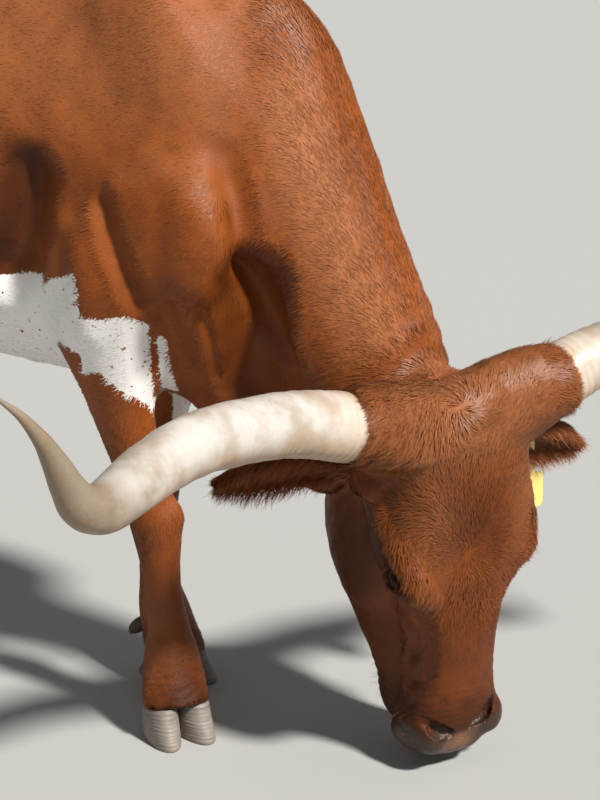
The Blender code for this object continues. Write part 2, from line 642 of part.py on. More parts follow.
HORN_PATH = (
    (-0.010, 0.185, -0.066, 0.0540), (-0.022, 0.213, -0.065, 0.0545), (-0.057, 0.308, -0.058, 0.0508),
    (-0.084, 0.410, -0.035, 0.0482), (-0.108, 0.526, 0.005, 0.0457), (-0.112, 0.625, 0.050, 0.0423),
    (-0.110, 0.681, 0.080, 0.0390), (-0.114, 0.727, 0.105, 0.0352), (-0.138, 0.763, 0.122, 0.0298),
    (-0.177, 0.784, 0.132, 0.0228), (-0.221, 0.803, 0.140, 0.0166), (-0.259, 0.821, 0.145, 0.0112),
    (-0.296, 0.844, 0.145, 0.0062), (-0.324, 0.869, 0.140, 0.0026))


def horn(name, side):
    """A horn that leaves the head level, bends forward and turns its tip up. The left horn is
    carried a little lower than the right."""
    droop = HORN_DROOP if side > 0 else 0.0
    rows = [(*on_head(a + droop * w, side * w, h), r, r) for a, w, h, r in HORN_PATH]
    return tube(name, rows, (0.0, 0.0, 1.0), 22, 12, parts)


def unit(v):
    """A direction of length one."""
    return np.asarray(v, float) / np.linalg.norm(v)


def ear_point(side, ends, u, turn, depth):
    """A point of an ear, a cupped leaf: u runs from its root to its tip, turn from edge to edge and
    depth from the back, 0, to the hollow, 1. The root is solid and the cup opens beyond it."""
    root = np.array(on_head(ends[0][0], side * ends[0][1], ends[0][2]))
    tip = np.array(on_head(ends[1][0], side * ends[1][1], ends[1][2]))
    along = unit(tip - root)
    front = np.array((0.80, 0.0, -0.60))
    front = unit(front - along * (front @ along))
    across = np.cross(along, front)
    wide = EAR_WIDTH * (0.24 + 0.78 * u ** 0.8 * (1.0 - u) ** 0.62 + 0.12 * math.sin(math.pi * u))
    wide *= math.sqrt(max(1.0 - (max(u - 0.62, 0.0) / 0.38) ** 2.6, 0.05))
    hollow = wide * (0.46 - 0.20 * u)
    thick = (0.0052 + 0.020 * max(1.0 - u / 0.28, 0.0) ** 1.5) * (1.0 - 0.70 * abs(turn) ** 3)
    y = wide / 2 * math.sin(turn * EAR_CURL) / math.sin(EAR_CURL) * (1.0 - 0.06 * depth)
    cup = hollow * (math.cos(turn * EAR_CURL) - math.cos(EAR_CURL))
    middle = root + (tip - root) * u - front * 0.012 * math.sin(math.pi * u)
    return middle + y * across - (cup - thick * depth) * front


def ear(name, side, ends):
    """The leaf of an ear, as a closed skin."""
    turns = np.linspace(-1.0, 1.0, 6)
    rings = []
    for u in np.linspace(0.0, 1.0, 10):
        back = [ear_point(side, ends, u, turn, 0.0) for turn in turns]
        hollow = [ear_point(side, ends, u, turn, 1.0) for turn in turns[::-1]]
        rings.append(np.array(back + hollow))
    return skin_rings(name, rings, parts)


def lock(root, aim, fall, length, width, thick, spans):
    """A flat tapered strand of hair that leaves its root along aim and bends toward fall."""
    point = np.array(root, float)
    side = unit(np.cross(aim, unit(fall) + np.array((0.013, 0.037, 0.021))))
    rings = []
    for u in np.linspace(0.0, 1.0, spans + 1):
        heading = unit(unit(aim) * (1.0 - u) + unit(fall) * u)
        side = unit(side - heading * (side @ heading))
        flat = np.cross(side, heading)
        swell = 0.06 + 0.94 * (1.0 - u) ** 0.8 * (0.70 + 0.9 * u)
        rings.append(np.array([point + side * width / 2 * swell, point + flat * thick / 2 * swell,
                               point - side * width / 2 * swell, point - flat * thick / 2 * swell]))
        point = point + heading * length / spans
    return skin_rings("lock", rings)


def grow_locks(core, locks):
    """One union of a form and the locks rooted in it, of which the largest closed body stays."""
    bundle = bpy.data.collections.new("locks")
    bpy.context.scene.collection.children.link(bundle)
    for strand in locks:
        tools.objects.unlink(strand)
        bundle.objects.link(strand)
    step = core.modifiers.new("locks", "BOOLEAN")
    step.operation = "UNION"
    step.operand_type = "COLLECTION"
    step.collection = bundle
    step.solver = "EXACT"
    apply_modifiers(core)
    drop(locks)
    bpy.data.collections.remove(bundle)
    largest_body(core)


def lower_edge(side, ends):
    """Which edge of an ear hangs lower, 1 or -1."""
    edges = [ear_point(side, ends, 0.5, turn, 0.5)[2] for turn in (1.0, -1.0)]
    return 1.0 if edges[0] < edges[1] else -1.0


def ear_fringe(side, ends):
    """Strands that hang from the lower edge of an ear and out of its cup."""
    down = np.array((0.12, 0.0, -1.0))
    strands = []
    for i in range(EAR_LOCKS):
        u = 0.22 + 0.56 * (i + chance.uniform(-0.2, 0.2)) / (EAR_LOCKS - 1)
        low = lower_edge(side, ends)
        root = ear_point(side, ends, u, low * 0.80, 0.5)
        rim = ear_point(side, ends, u, low, 0.5)
        outward = ear_point(side, ends, min(u + 0.2, 0.98), low, 0.5) - rim
        aim = unit(rim - root) + 0.9 * unit(outward)
        strands.append(lock(root, aim, down + 0.9 * unit(outward), chance.uniform(0.034, 0.050),
                            chance.uniform(0.023, 0.029), 0.0042, 2))
    return strands


def ear_tag(name):
    """A blank tag: a plate with cut corners on a neck, and a pin with a button through the left ear."""
    turn = 0.45 * lower_edge(1.0, EAR_LEFT)
    spot = ear_point(1.0, EAR_LEFT, TAG_ALONG_EAR, turn, 0.5)
    axis = unit(ear_point(1.0, EAR_LEFT, TAG_ALONG_EAR, turn, 1.0) - spot)
    front = spot + axis * 0.0075
    half = TAG_WIDTH / 2
    neck = TAG_NECK / 2
    cut = 0.007
    top = -TAG_HANG
    low = top - TAG_HEIGHT
    shape = ((-neck, 0.008), (neck, 0.008), (neck, top), (half - cut, top), (half, top - cut),
             (half, low + cut), (half - cut, low), (cut - half, low), (-half, low + cut),
             (-half, top - cut), (cut - half, top), (-neck, top))
    rings = [np.array([front + np.array((t, y, z)) for y, z in shape])
             for t in (-TAG_THICK / 2, TAG_THICK / 2)]
    plate = skin_rings(name, rings, parts)
    pin = tube("pin", [(*(spot + axis * t), TAG_PIN, TAG_PIN) for t in (-0.0100, 0.0, 0.0078)],
               (0.0, 0.0, 1.0), 2, 8)
    button = tube("button", [(*(spot + axis * t), 0.0130, 0.0130) for t in (-0.0105, -0.0080)],
                  (0.0, 0.0, 1.0), 2, 12)
    boolean(plate, pin, "UNION")
    boolean(plate, button, "UNION")
    return plate


def claw(name, x, y, side, size):
    """One half of a cloven hoof, flat below and leaned back to the hair line."""
    rings = []
    turn = np.linspace(0.0, 2.0 * math.pi, 12, endpoint=False)
    for z, front, back, half in ((0.0, 0.064, 0.048, 0.0262), (0.014, 0.060, 0.049, 0.0268),
                                 (0.036, 0.047, 0.048, 0.0262), (0.058, 0.036, 0.045, 0.0245)):
        lean = np.where(np.cos(turn) >= 0, front, back)
        n = np.where(np.cos(turn) >= 0, 1.9, 2.6)
        px = power_wave(np.cos(turn), n) * lean
        py = power_wave(np.sin(turn), 2.3) * half
        py = py + side * 0.004 * (px / 0.06) * (1.0 - z / 0.08)
        pz = np.full_like(px, z) + (px * 0.17 if z > 0.05 else 0.0)
        rings.append(np.stack([x + px * size, y + side * (0.0286 * size) + py * size, pz * size], axis=1))
    return skin_rings(name, rings, parts)


def dewclaw(name, x, y, side):
    """A small hoof on the back of the ankle."""
    rows = [(x - 0.040, y + side * 0.020, 0.118, 0.0135, 0.0125),
            (x - 0.056, y + side * 0.025, 0.108, 0.0140, 0.0130),
            (x - 0.068, y + side * 0.028, 0.098, 0.0105, 0.0100),
            (x - 0.075, y + side * 0.029, 0.091, 0.0050, 0.0050)]
    return tube(name, rows, (0.0, 0.0, 1.0), 4, 7, parts)


def foot_turn(points):
    """The right front foot turned out about its own upright line, fading up the shin."""
    points = np.asarray(points, float)
    dx, dy = points[:, 0] - FRONT_RIGHT[0], points[:, 1] - FRONT_RIGHT[1]
    near = (np.hypot(dx, dy) < 0.12) & (points[:, 2] < 0.34)
    fade = np.clip((0.34 - points[:, 2]) / 0.20, 0.0, 1.0)
    angle = FOOT_TURN * fade * fade * (3.0 - 2.0 * fade) * near
    turned = points.copy()
    turned[:, 0] = FRONT_RIGHT[0] + dx * np.cos(angle) - dy * np.sin(angle)
    turned[:, 1] = FRONT_RIGHT[1] + dx * np.sin(angle) + dy * np.cos(angle)
    return turned


def turn_foot(thing):
    """Carry an object's points with the turned foot."""
    points = np.array([v.co[:] for v in thing.data.vertices])
    thing.data.vertices.foreach_set("co", foot_turn(points).ravel())
    thing.data.update()


# The trunk, neck and legs are drawn as one body, so that their seams match.
pieces = trunk_forms() + [dewlap()]
pieces += front_leg(FRONT_RIGHT) + front_leg(FRONT_LEFT)
pieces += hind_leg(HIND_RIGHT) + hind_leg(HIND_LEFT)
body = fuse("torso", pieces, BODY_VOXEL)
soften(body, 12, lambda p: np.full(len(p), 0.8))
soften(body, 170, lambda p: np.clip((p[:, 2] - 0.50) / 0.30, 0.0, 1.0))
turn_foot(body)
thin_out(body, FIRST_THINNING)
thin_out(body, BODY_TRIANGLES, where=lambda p: p.z > 0.58 or p.x > 0.16)

# The head is drawn upright in its own frame, with the top of the neck behind it.
place = head_place()
head = fuse("head", head_forms(), HEAD_VOXEL)
soften(head, 8, lambda p: np.full(len(p), 0.8))
soften(head, 60, lambda p: np.clip(0.25 + (p[:, 2] + 0.46) / 0.14, 0.25, 1.0))
thin_out(head, HEAD_TRIANGLES)
for side in (-1.0, 1.0):
    socket = mass("socket", on_head(EYE_AT[0] + 0.002, side * (EYE_AT[1] + 0.018), EYE_AT[2] - 0.002),
                  (0.017, 0.014, 0.024), 0.0, 12)
    boolean(head, socket, "DIFFERENCE")
    boolean(head, eye_lids(side), "UNION")
    boolean(head, nostril(head, side), "DIFFERENCE")
boolean(head, mouth_line(), "DIFFERENCE")

guests = []
for side, word in ((-1.0, "right"), (1.0, "left")):
    ball = mass("eye_" + word, on_head(EYE_AT[0], side * EYE_AT[1], EYE_AT[2]),
                (EYE_RADIUS, EYE_RADIUS, EYE_RADIUS), 0.0, 12)
    tools.objects.unlink(ball)
    parts.objects.link(ball)
    guests.append(ball)
    guests.append(horn("horn_" + word, side))
for side, word, ends in ((-1.0, "right", EAR_RIGHT), (1.0, "left", EAR_LEFT)):
    lobe = ear("ear_" + word, side, ends)
    grow_locks(lobe, ear_fringe(side, ends))
    guests.append(lobe)
tag = ear_tag("ear_tag")
seat(guests[5], tag)
guests.append(tag)

for thing in [head] + guests:
    thing.data.transform(place)

# Part the body: the head from the neck, the neck from the trunk, the legs from the trunk.
seam_point = place @ Vector(on_head(-0.040, 0.0, -0.150))
seam_toward = place.to_3x3() @ Vector(on_head(0.606, 0.0, 0.795))
seam_down = place.to_3x3() @ Vector(on_head(0.795, 0.0, -0.606))
seam_side = seam_down.cross(seam_toward)
seam_turn = Matrix((seam_toward, seam_side, seam_down)).transposed().to_4x4()
seam_frame = Matrix.Translation(seam_point) @ seam_turn


def head_room(start):
    """A block over the head's end of the neck, from a distance before or behind the seam."""
    room = box("head room", (start, -0.35, -0.25), (0.60, 0.35, 0.42))
    room.data.transform(seam_frame)
    return room


neck_cap = twin(body, "neck_cap")
boolean(neck_cap, head_room(-0.012), "INTERSECT")
boolean(head, neck_cap, "UNION")
plane_cut(head, seam_point, seam_toward)
boolean(body, head_room(-GAP / 2), "DIFFERENCE")
neck = twin(body, "neck")
plane_cut(neck, NECK_SEAM, NECK_SEAM_TOWARD)
plane_cut(body, NECK_SEAM, [-c for c in NECK_SEAM_TOWARD])
for guest in guests[:4]:
    seat(head, guest)
for thing in (head, neck, body):
    largest_body(thing)
for lobe in guests[4:6]:
    seat(lobe, head)
    largest_body(lobe)

legs = []
for word, foot in (("front_right", FRONT_RIGHT), ("front_left", FRONT_LEFT),
                   ("hind_right", HIND_RIGHT), ("hind_left", HIND_LEFT)):
    hind = "hind" in word
    seam = THIGH_SEAM if hind else LEG_TOP
    side = 1.0 if "left" in word else -1.0
    behind, ahead = (0.30, 0.25) if hind else (0.22, 0.075)
    inner = 0.020 if hind else abs(foot[1]) - 0.062
    low = (foot[0] - behind, min(side * inner, side * 0.40), -0.05)
    high = (foot[0] + ahead, max(side * inner, side * 0.40), seam - GAP / 2)
    leg = twin(body, "leg_" + word)
    boolean(leg, box("leg room", low, high), "INTERSECT")
    largest_body(leg)
    boolean(body, box("leg room", low, (high[0], high[1], seam + GAP / 2)), "DIFFERENCE")
    legs.append((leg, foot, word, hind))
largest_body(body)

hooves = []
for leg, foot, word, hind in legs:
    size = 0.94 if hind else 1.06
    x = foot[0] + (0.004 if hind else 0.010)
    turn = FOOT_TURN if foot is FRONT_RIGHT else 0.0
    ahead = (math.cos(turn), math.sin(turn))
    middle = (foot[0] + (x - foot[0]) * ahead[0], foot[1] + (x - foot[0]) * ahead[1])
    plane_cut(leg, (*middle, 0.058 * size + GAP / 2), (-0.17 * ahead[0], -0.17 * ahead[1], 1.0))
    for side, which in ((-1.0, "right"), (1.0, "left")):
        toe = claw("claw_" + word + "_" + which, x, foot[1], side, size)
        back = foot[0] - (0.024 if hind else 0.0)
        spur = dewclaw("dewclaw_" + word + "_" + which, back, foot[1], side)
        if foot is FRONT_RIGHT:
            turn_foot(toe)
            turn_foot(spur)
        hooves += [toe, spur]
        seat(leg, spur)
    largest_body(leg)

tail = tube("tail", ((-1.410, 0.0, 1.322, 0.030, 0.030), (-1.455, 0.0, 1.295, 0.029, 0.029),
                     (-1.492, 0.0, 1.210, 0.025, 0.026), (-1.500, 0.0, 1.060, 0.021, 0.022),
                     (-1.497, 0.004, 0.880, 0.018, 0.018), (-1.492, 0.010, 0.720, 0.015, 0.015),
                     (-1.490, 0.013, 0.640, 0.013, 0.013)), (0.0, 1.0, 0.0), 16, 10, parts)
seat(body, tail)
largest_body(body)
switch = tube("tail_switch", ((-1.490, 0.012, 0.706, 0.0180, 0.0180), (-1.490, 0.013, 0.670, 0.0240, 0.0230),
                              (-1.491, 0.014, 0.600, 0.0260, 0.0250), (-1.492, 0.015, 0.540, 0.0170, 0.0160)),
              (0.0, 1.0, 0.0), 7, 10, parts)
strands = []
for i in range(SWITCH_LOCKS):
    turn = 2.399963 * i + chance.uniform(-0.2, 0.2)
    down = i / (SWITCH_LOCKS - 1)
    out = np.array((math.cos(turn), math.sin(turn), 0.0))
    root = np.array((-1.491, 0.014, 0.690 - 0.140 * down)) + out * 0.008
    length = SWITCH_LENGTH * (0.62 + 0.38 * down) * chance.uniform(0.80, 1.0) - 0.14 * down
    strands.append(lock(root, out * 0.30 + (0.0, 0.0, -1.0), (0.0, 0.0, -1.0) - out * 0.07, length,
                        chance.uniform(0.022, 0.030), chance.uniform(0.008, 0.011), 3))
grow_locks(switch, strands)
seat(switch, tail)
largest_body(switch)

coat = material("coat", COAT, 0.55)
looks = [(coat, [body, neck, head, guests[4], guests[5], tail] + [leg for leg, _, _, _ in legs]),
         (material("horn", HORN, 0.35), [guests[1], guests[3]]),
         (material("eye", EYE, 0.08), [guests[0], guests[2]]),
         (material("hoof", HOOF, 0.5), hooves),
         (material("switch", SWITCH, 0.6), [switch]),
         (material("tag", TAG, 0.4), [tag])]
for look, things in looks:
    for thing in things:
        thing.data.materials.clear()
        thing.data.materials.append(look)

# Bring the middle of the whole over the origin.
corners = np.array([v.co[:] for thing in parts.objects for v in thing.data.vertices])
low, high = corners.min(axis=0), corners.max(axis=0)
shift = Matrix.Translation((-(low[0] + high[0]) / 2, -(low[1] + high[1]) / 2, -low[2]))
for thing in parts.objects:
    thing.data.transform(shift)
    print(thing.name, sum(len(face.vertices) - 2 for face in thing.data.polygons))
print("moved by", tuple(round(c, 4) for c in shift.translation), "size", (high - low).round(3))
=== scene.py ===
# %% [markdown]
# # A grazing longhorn steer
# This lesson dresses a finished solid model of a longhorn steer: its skin, its short coat, the long
# hair of ears and tail, the horns, the hooves, the eyes and the blank tag in its left ear.
# The solid parts are already packed in one frame, in metres. We load them first and never move them.
# Each new piece is drawn where its solid part stands, and then takes that part's place.

# %% Load the frame
import math
import bpy
import numpy as np
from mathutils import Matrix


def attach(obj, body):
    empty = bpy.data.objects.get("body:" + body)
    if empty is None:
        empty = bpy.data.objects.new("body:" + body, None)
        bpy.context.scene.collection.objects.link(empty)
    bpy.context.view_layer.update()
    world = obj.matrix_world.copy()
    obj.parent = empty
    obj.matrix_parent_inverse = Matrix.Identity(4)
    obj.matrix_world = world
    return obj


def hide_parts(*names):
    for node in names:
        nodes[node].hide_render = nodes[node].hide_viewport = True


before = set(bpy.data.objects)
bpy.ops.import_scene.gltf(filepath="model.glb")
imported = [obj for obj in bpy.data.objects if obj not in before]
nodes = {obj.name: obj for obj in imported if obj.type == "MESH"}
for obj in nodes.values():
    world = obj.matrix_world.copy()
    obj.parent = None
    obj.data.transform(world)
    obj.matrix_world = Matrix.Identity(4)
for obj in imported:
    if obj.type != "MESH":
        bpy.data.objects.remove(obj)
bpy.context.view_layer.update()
chance = np.random.default_rng(41)

# %% [markdown]
# ## Where things are
# The animal faces +X with its left side on +Y. The trunk, legs and tail were drawn with the right
# front foot at (0, -0.11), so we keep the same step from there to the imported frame.
# The head hangs from the neck, turned and leaned, so it gets measures of its own: a runs down the
# face from the poll, w goes to the animal's left, and h comes forward out of the forehead.

# %% Measures of the animal and of its head
SHIFT = np.array((0.2492, 0.1294, 0.0))
POLL = np.array((0.572, -0.042, 0.662)) + SHIFT
YAW, LEAN, ROLL = np.radians((-21.0, 6.0, 6.5))
UP = np.array((0.0, 0.0, 1.0))
level = np.array((math.cos(YAW), math.sin(YAW), 0.0))
aside = np.array((-math.sin(YAW), math.cos(YAW), 0.0))
down = -UP * math.cos(LEAN) - level * math.sin(LEAN)
OUT = level * math.cos(LEAN) - UP * math.sin(LEAN)
WIDE = aside * math.cos(ROLL) - down * math.sin(ROLL)
FALL = down * math.cos(ROLL) + aside * math.sin(ROLL)
HEAD_AXES = np.array((FALL, WIDE, OUT))


def from_head(awh):
    """Points given down the face, to the left and forward, placed on the animal."""
    return POLL + np.asarray(awh, float) @ HEAD_AXES


def to_head(points):
    """Points of the animal measured down the face, to the left and forward."""
    return (points - POLL) @ HEAD_AXES.T


FOOT_TURN = math.radians(-28.0)
FEET = {"front_right": (0.0, -0.11), "front_left": (-0.150, 0.070),
        "hind_right": (-1.235, -0.15), "hind_left": (-1.06, 0.15)}
print("poll at", POLL.round(3), "whorl of the face at", from_head((0.245, -0.028, 0.0)).round(3))

# %% [markdown]
# ## A few helpers
# Every new piece is either a grid of points worked out with numpy, or a profile carried along a
# path. Writing the faces once, as a function, keeps each later cell about its own shape.
# Smooth steps and a soft, seeded ripple come up again and again: they fade one region into the
# next and stand in for the unevenness of a living thing.

# %% Steps, ripples and unit vectors
def unit(v):
    """Each vector divided by its own length."""
    v = np.asarray(v, float)
    return v / np.maximum(np.linalg.norm(v, axis=-1, keepdims=True), 1e-12)


def step(value, start, end):
    """0 before start, 1 after end, and 3t^2 - 2t^3 between them."""
    t = np.clip((np.asarray(value, float) - start) / (end - start), 0.0, 1.0)
    return t * t * (3.0 - 2.0 * t)


def bump(value, centre, width):
    """A bell: exp(-((value - centre) / width)^2)."""
    return np.exp(-((np.asarray(value, float) - centre) / width) ** 2)


def ripple(points, size, seed, waves=14):
    """A soft noise from -1 to 1: a sum of sine waves of about one length, each on its own heading."""
    own = np.random.default_rng(seed)
    heads = unit(own.normal(size=(waves, 3))) * own.uniform(0.7, 1.4, (waves, 1)) * 2.0 * math.pi / size
    phase = own.uniform(0.0, 2.0 * math.pi, waves)
    return np.sin(points @ heads.T + phase).sum(axis=1) / math.sqrt(waves * 0.5) * 0.5


def frames_along(path, side):
    """Heading, side and lift at each point of a path: the side is the given direction made square
    to the heading, and the lift is square to both."""
    ahead = unit(np.gradient(path, axis=0))
    across = np.broadcast_to(np.asarray(side, float), path.shape)
    across = unit(across - ahead * (across * ahead).sum(axis=1, keepdims=True))
    return ahead, across, np.cross(ahead, across)


def smooth_rows(rows, count):
    """Rows between the rows of a table, on a cubic that passes through all of them."""
    rows = np.asarray(rows, float)
    knots = np.concatenate([[0.0], np.cumsum(np.linalg.norm(np.diff(rows[:, :3], axis=0), axis=1))])
    slopes = np.gradient(rows, knots, axis=0)
    at = np.linspace(0.0, knots[-1], count)
    k = np.clip(np.searchsorted(knots, at, side="right") - 1, 0, len(knots) - 2)
    span = (knots[k + 1] - knots[k])[:, None]
    u = (at - knots[k])[:, None] / span
    return ((2 * u**3 - 3 * u**2 + 1) * rows[k] + (u**3 - 2 * u**2 + u) * span * slopes[k]
            + (3 * u**2 - 2 * u**3) * rows[k + 1] + (u**3 - u**2) * span * slopes[k + 1])


# %% Faces and meshes
def grid_faces(rows, cols, closed):
    """Quads between neighbouring rows of a grid; closed joins the last column to the first."""
    i = np.arange(rows - 1)[:, None] * cols
    j = np.arange(cols if closed else cols - 1)[None, :]
    k = (j + 1) % cols
    return np.stack([i + j, i + k, i + cols + k, i + cols + j], axis=-1).reshape(-1, 4)


def object_of(name, points, quads, triangles=None):
    """A smooth-shaded mesh object that rides with the body."""
    sets = [np.asarray(quads, dtype=np.int64)]
    if triangles is not None:
        sets.append(np.asarray(triangles, dtype=np.int64))
    corners = np.concatenate([faces.ravel() for faces in sets])
    sizes = np.concatenate([np.full(len(faces), faces.shape[1]) for faces in sets])
    mesh = bpy.data.meshes.new(name)
    mesh.vertices.add(len(points))
    mesh.vertices.foreach_set("co", np.asarray(points, float).ravel())
    mesh.loops.add(len(corners))
    mesh.loops.foreach_set("vertex_index", corners)
    mesh.polygons.add(len(sizes))
    mesh.polygons.foreach_set("loop_start", np.concatenate([[0], np.cumsum(sizes)[:-1]]))
    mesh.update(calc_edges=True)
    mesh.shade_smooth()
    made = bpy.data.objects.new(name, mesh)
    bpy.context.scene.collection.objects.link(made)
    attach(made, "root")
    return made


def tube_points(path, side, radius_side, radius_lift, around):
    """Rings carried along a path: point = path + r1 cos(t) side + r2 sin(t) lift."""
    _, across, lift = frames_along(path, side)
    t = np.linspace(0.0, 2.0 * math.pi, around, endpoint=False)
    ring = (np.cos(t)[None, :, None] * across[:, None] * np.reshape(radius_side, (-1, 1, 1))
            + np.sin(t)[None, :, None] * lift[:, None] * np.reshape(radius_lift, (-1, 1, 1)))
    return path[:, None] + ring


def closed_tube(name, rings):
    """A closed skin over rings, with a fan to a pole at either end."""
    rows, cols = rings.shape[:2]
    count = rows * cols
    points = np.concatenate([rings.reshape(-1, 3), rings[:1].mean(axis=1), rings[-1:].mean(axis=1)])
    j = np.arange(cols)
    k = (j + 1) % cols
    first = np.stack([np.full(cols, count), k, j], axis=1)
    last = np.stack([np.full(cols, count + 1), (rows - 1) * cols + j, (rows - 1) * cols + k], axis=1)
    return object_of(name, points, grid_faces(rows, cols, True), np.concatenate([first, last]))


def write_layer(thing, name, values):
    """A named colour layer on the points of a mesh: four numbers for each point."""
    layer = thing.data.attributes.new(name, "FLOAT_COLOR", "POINT")
    full = np.zeros((len(thing.data.vertices), 4))
    full[:, :values.shape[1]] = values
    layer.data.foreach_set("color", full.ravel())


def write_map(thing, name, uv):
    """A UV map given as one pair for each point."""
    corner = np.empty(len(thing.data.loops), dtype=np.int64)
    thing.data.loops.foreach_get("vertex_index", corner)
    layer = thing.data.uv_layers.new(name=name)
    layer.data.foreach_set("uv", np.asarray(uv, float)[corner].ravel())


def read_points(thing):
    """The points of a mesh as an array."""
    points = np.empty(len(thing.data.vertices) * 3)
    thing.data.vertices.foreach_get("co", points)
    return points.reshape(-1, 3)


def settle(thing):
    """Turn the modifiers of an object into plain mesh."""
    seen = thing.evaluated_get(bpy.context.evaluated_depsgraph_get())
    mesh = bpy.data.meshes.new_from_object(seen)
    thing.modifiers.clear()
    thing.data = mesh


# %% [markdown]
# ## One skin over trunk, neck, head, legs and tail
# A steer has one hide with no seams, but the solid model is divided at the neck and legs. We take
# copies of those solids, lay one fine voxel skin over them all and let a smoothing step carry away
# the facets. The head keeps more of its form than the trunk, so each point gets its own share of
# the smoothing. Modelling the hide anew from curves would risk leaving the solid's outline.

# %% Lay the skin
FLESH = ("torso", "neck", "head", "leg_front_left", "leg_front_right",
         "leg_hind_left", "leg_hind_right", "tail")
SKIN_GRID = 0.0036
EASE_ROUNDS = 360


def copied_solids(names):
    """All points and triangles of some solids, put together in one pair of arrays."""
    points, faces, count = [], [], 0
    for name in names:
        mesh = nodes[name].data
        own = np.empty(len(mesh.vertices) * 3)
        mesh.vertices.foreach_get("co", own)
        corners = np.empty(len(mesh.loops), dtype=np.int64)
        mesh.loops.foreach_get("vertex_index", corners)
        points.append(own.reshape(-1, 3))
        faces.append(corners.reshape(-1, 3) + count)
        count += len(mesh.vertices)
    return np.concatenate(points), np.concatenate(faces)


def past_jaw(a, h):
    """How far a place lies past the plane behind the jaw that parts head and neck."""
    return a * 0.606 + h * 0.795 + 0.144


def share_of_smoothing(points):
    """1 on the trunk and neck, less on the legs, little on the face."""
    a, _, h = to_head(points).T
    own = points - SHIFT
    legs = 1.0 - step(own[:, 2], 0.42, 0.66)
    face = step(past_jaw(a, h), 0.0, 0.10) * step(h, -0.46, -0.38)
    amount = 1.0 - 0.78 * legs
    return amount * (1.0 - face) + 0.30 * face


skin = object_of("skin", *copied_solids(FLESH))
grid = skin.modifiers.new("one skin", "REMESH")
grid.mode = "VOXEL"
grid.voxel_size = SKIN_GRID
settle(skin)


def ease(thing, rounds, amounts):
    """Smoothing rounds, with each point's share rounded to a twentieth for its group."""
    group = thing.vertex_groups.new(name="ease")
    levels = np.round(np.clip(amounts, 0.0, 1.0) * 20).astype(int)
    for each in np.unique(levels):
        group.add(np.nonzero(levels == each)[0].tolist(), each / 20.0, "REPLACE")
    smoother = thing.modifiers.new("ease", "SMOOTH")
    smoother.factor = 0.5
    smoother.iterations = rounds
    smoother.vertex_group = "ease"
    settle(thing)
    thing.vertex_groups.clear()


ease(skin, EASE_ROUNDS, share_of_smoothing(read_points(skin)) ** 2)
print("skin laid:", len(skin.data.vertices), "points")

# %% [markdown]
# ## Regions of the body
# Hair length, its lie, the markings and the folds all depend on where a point is. One function
# gives each point a share of head, neck, trunk, leg and tail. It works from the same planes that
# part the solids, each softened over a few centimetres so that nothing changes in a step.

# %% Shares of each region
def regions(points):
    """Shares of head, leg, neck and tail at each point; what is left is trunk."""
    a, w, h = to_head(points).T
    x, y, z = (points - SHIFT).T
    head = step(past_jaw(a, h), -0.02, 0.02) * step(h, -0.46, -0.39)
    leg = np.zeros(len(points))
    for word, (fx, fy) in FEET.items():
        hind = "hind" in word
        top = 0.70 if hind else 0.575
        side = 1.0 if fy > 0 else -1.0
        reach = step(x, fx - 0.32, fx - 0.28) * (1.0 - step(x, fx + 0.12, fx + 0.30))
        inner = step(side * y, -0.02, 0.01)
        leg = np.maximum(leg, reach * inner * (1.0 - step(z, top - 0.05, top + 0.10)))
    leg *= 1.0 - head
    neck = step((x - 0.20) * 0.982 + (z - 0.98) * 0.187, -0.05, 0.08) * (1.0 - head) * (1.0 - leg)
    tail = (1.0 - step(x, -1.468, -1.452)) * (1.0 - step(z, 1.27, 1.31))
    return {"head": head, "leg": leg * (1.0 - tail), "neck": neck * (1.0 - tail), "tail": tail,
            "a": a, "w": w, "h": h, "x": x, "y": y, "z": z}


# %% [markdown]
# ## Folds, veins and the muzzle
# The solids carry the large forms. The hide adds what lies between: the creases where the neck
# meets the shoulder, the ribs that just show, the vein under the eye, the lips, the nostrils and
# the wrinkles round the muzzle. Each one is a number in metres for every point,
# and the point is moved that far along its own normal. The whole hide first sinks by the depth
# of the coat, which is laid over it again afterwards.

# %% Move the skin
COAT_DEPTH = 0.003


def mesh_normals(thing):
    """The normal of each point of a mesh."""
    normals = np.empty(len(thing.data.vertices) * 3)
    thing.data.vertices.foreach_get("normal", normals)
    return normals.reshape(-1, 3)


def groove(points, course, width):
    """How near each point is to a course of points, 1 on it and 0 beyond its width."""
    course = np.asarray(course, float)
    best = np.full(len(points), 1e9)
    for start, end in zip(course[:-1], course[1:]):
        along = end - start
        t = np.clip(((points - start) @ along) / (along @ along), 0.0, 1.0)
        best = np.minimum(best, np.linalg.norm(points - start - t[:, None] * along, axis=1))
    return 1.0 - step(best, 0.0, width)


# Courses of points along each fold, on the right side of the animal as it stands in the frame.
NECK_CREASE = ((0.430, -0.050, 1.060), (0.442, -0.039, 0.988), (0.457, -0.045, 0.934),
               (0.460, -0.041, 0.891), (0.461, -0.011, 0.824), (0.471, 0.012, 0.754), (0.490, 0.037, 0.685))
NECK_HOLLOW = ((0.457, -0.020, 0.850), (0.448, -0.005, 0.780), (0.432, 0.008, 0.710), (0.410, 0.030, 0.640))
ELBOW_HOLLOW = ((0.085, -0.128, 1.000), (0.070, -0.134, 0.930), (0.048, -0.134, 0.875),
                (0.010, -0.128, 0.835))
ARM_LINE = ((0.231, -0.125, 0.975), (0.253, -0.132, 0.926), (0.276, -0.134, 0.880), (0.296, -0.112, 0.820))
SHOULDER_LINE = ((0.290, -0.105, 1.130), (0.250, -0.125, 1.060), (0.205, -0.130, 1.010),
                 (0.170, -0.130, 0.960))
ARM_RIDGE = ((0.405, -0.100, 1.010), (0.418, -0.092, 0.930), (0.400, -0.085, 0.860))
ELBOW_RIDGE = ((0.180, -0.135, 0.930), (0.200, -0.138, 0.840), (0.200, -0.130, 0.760))
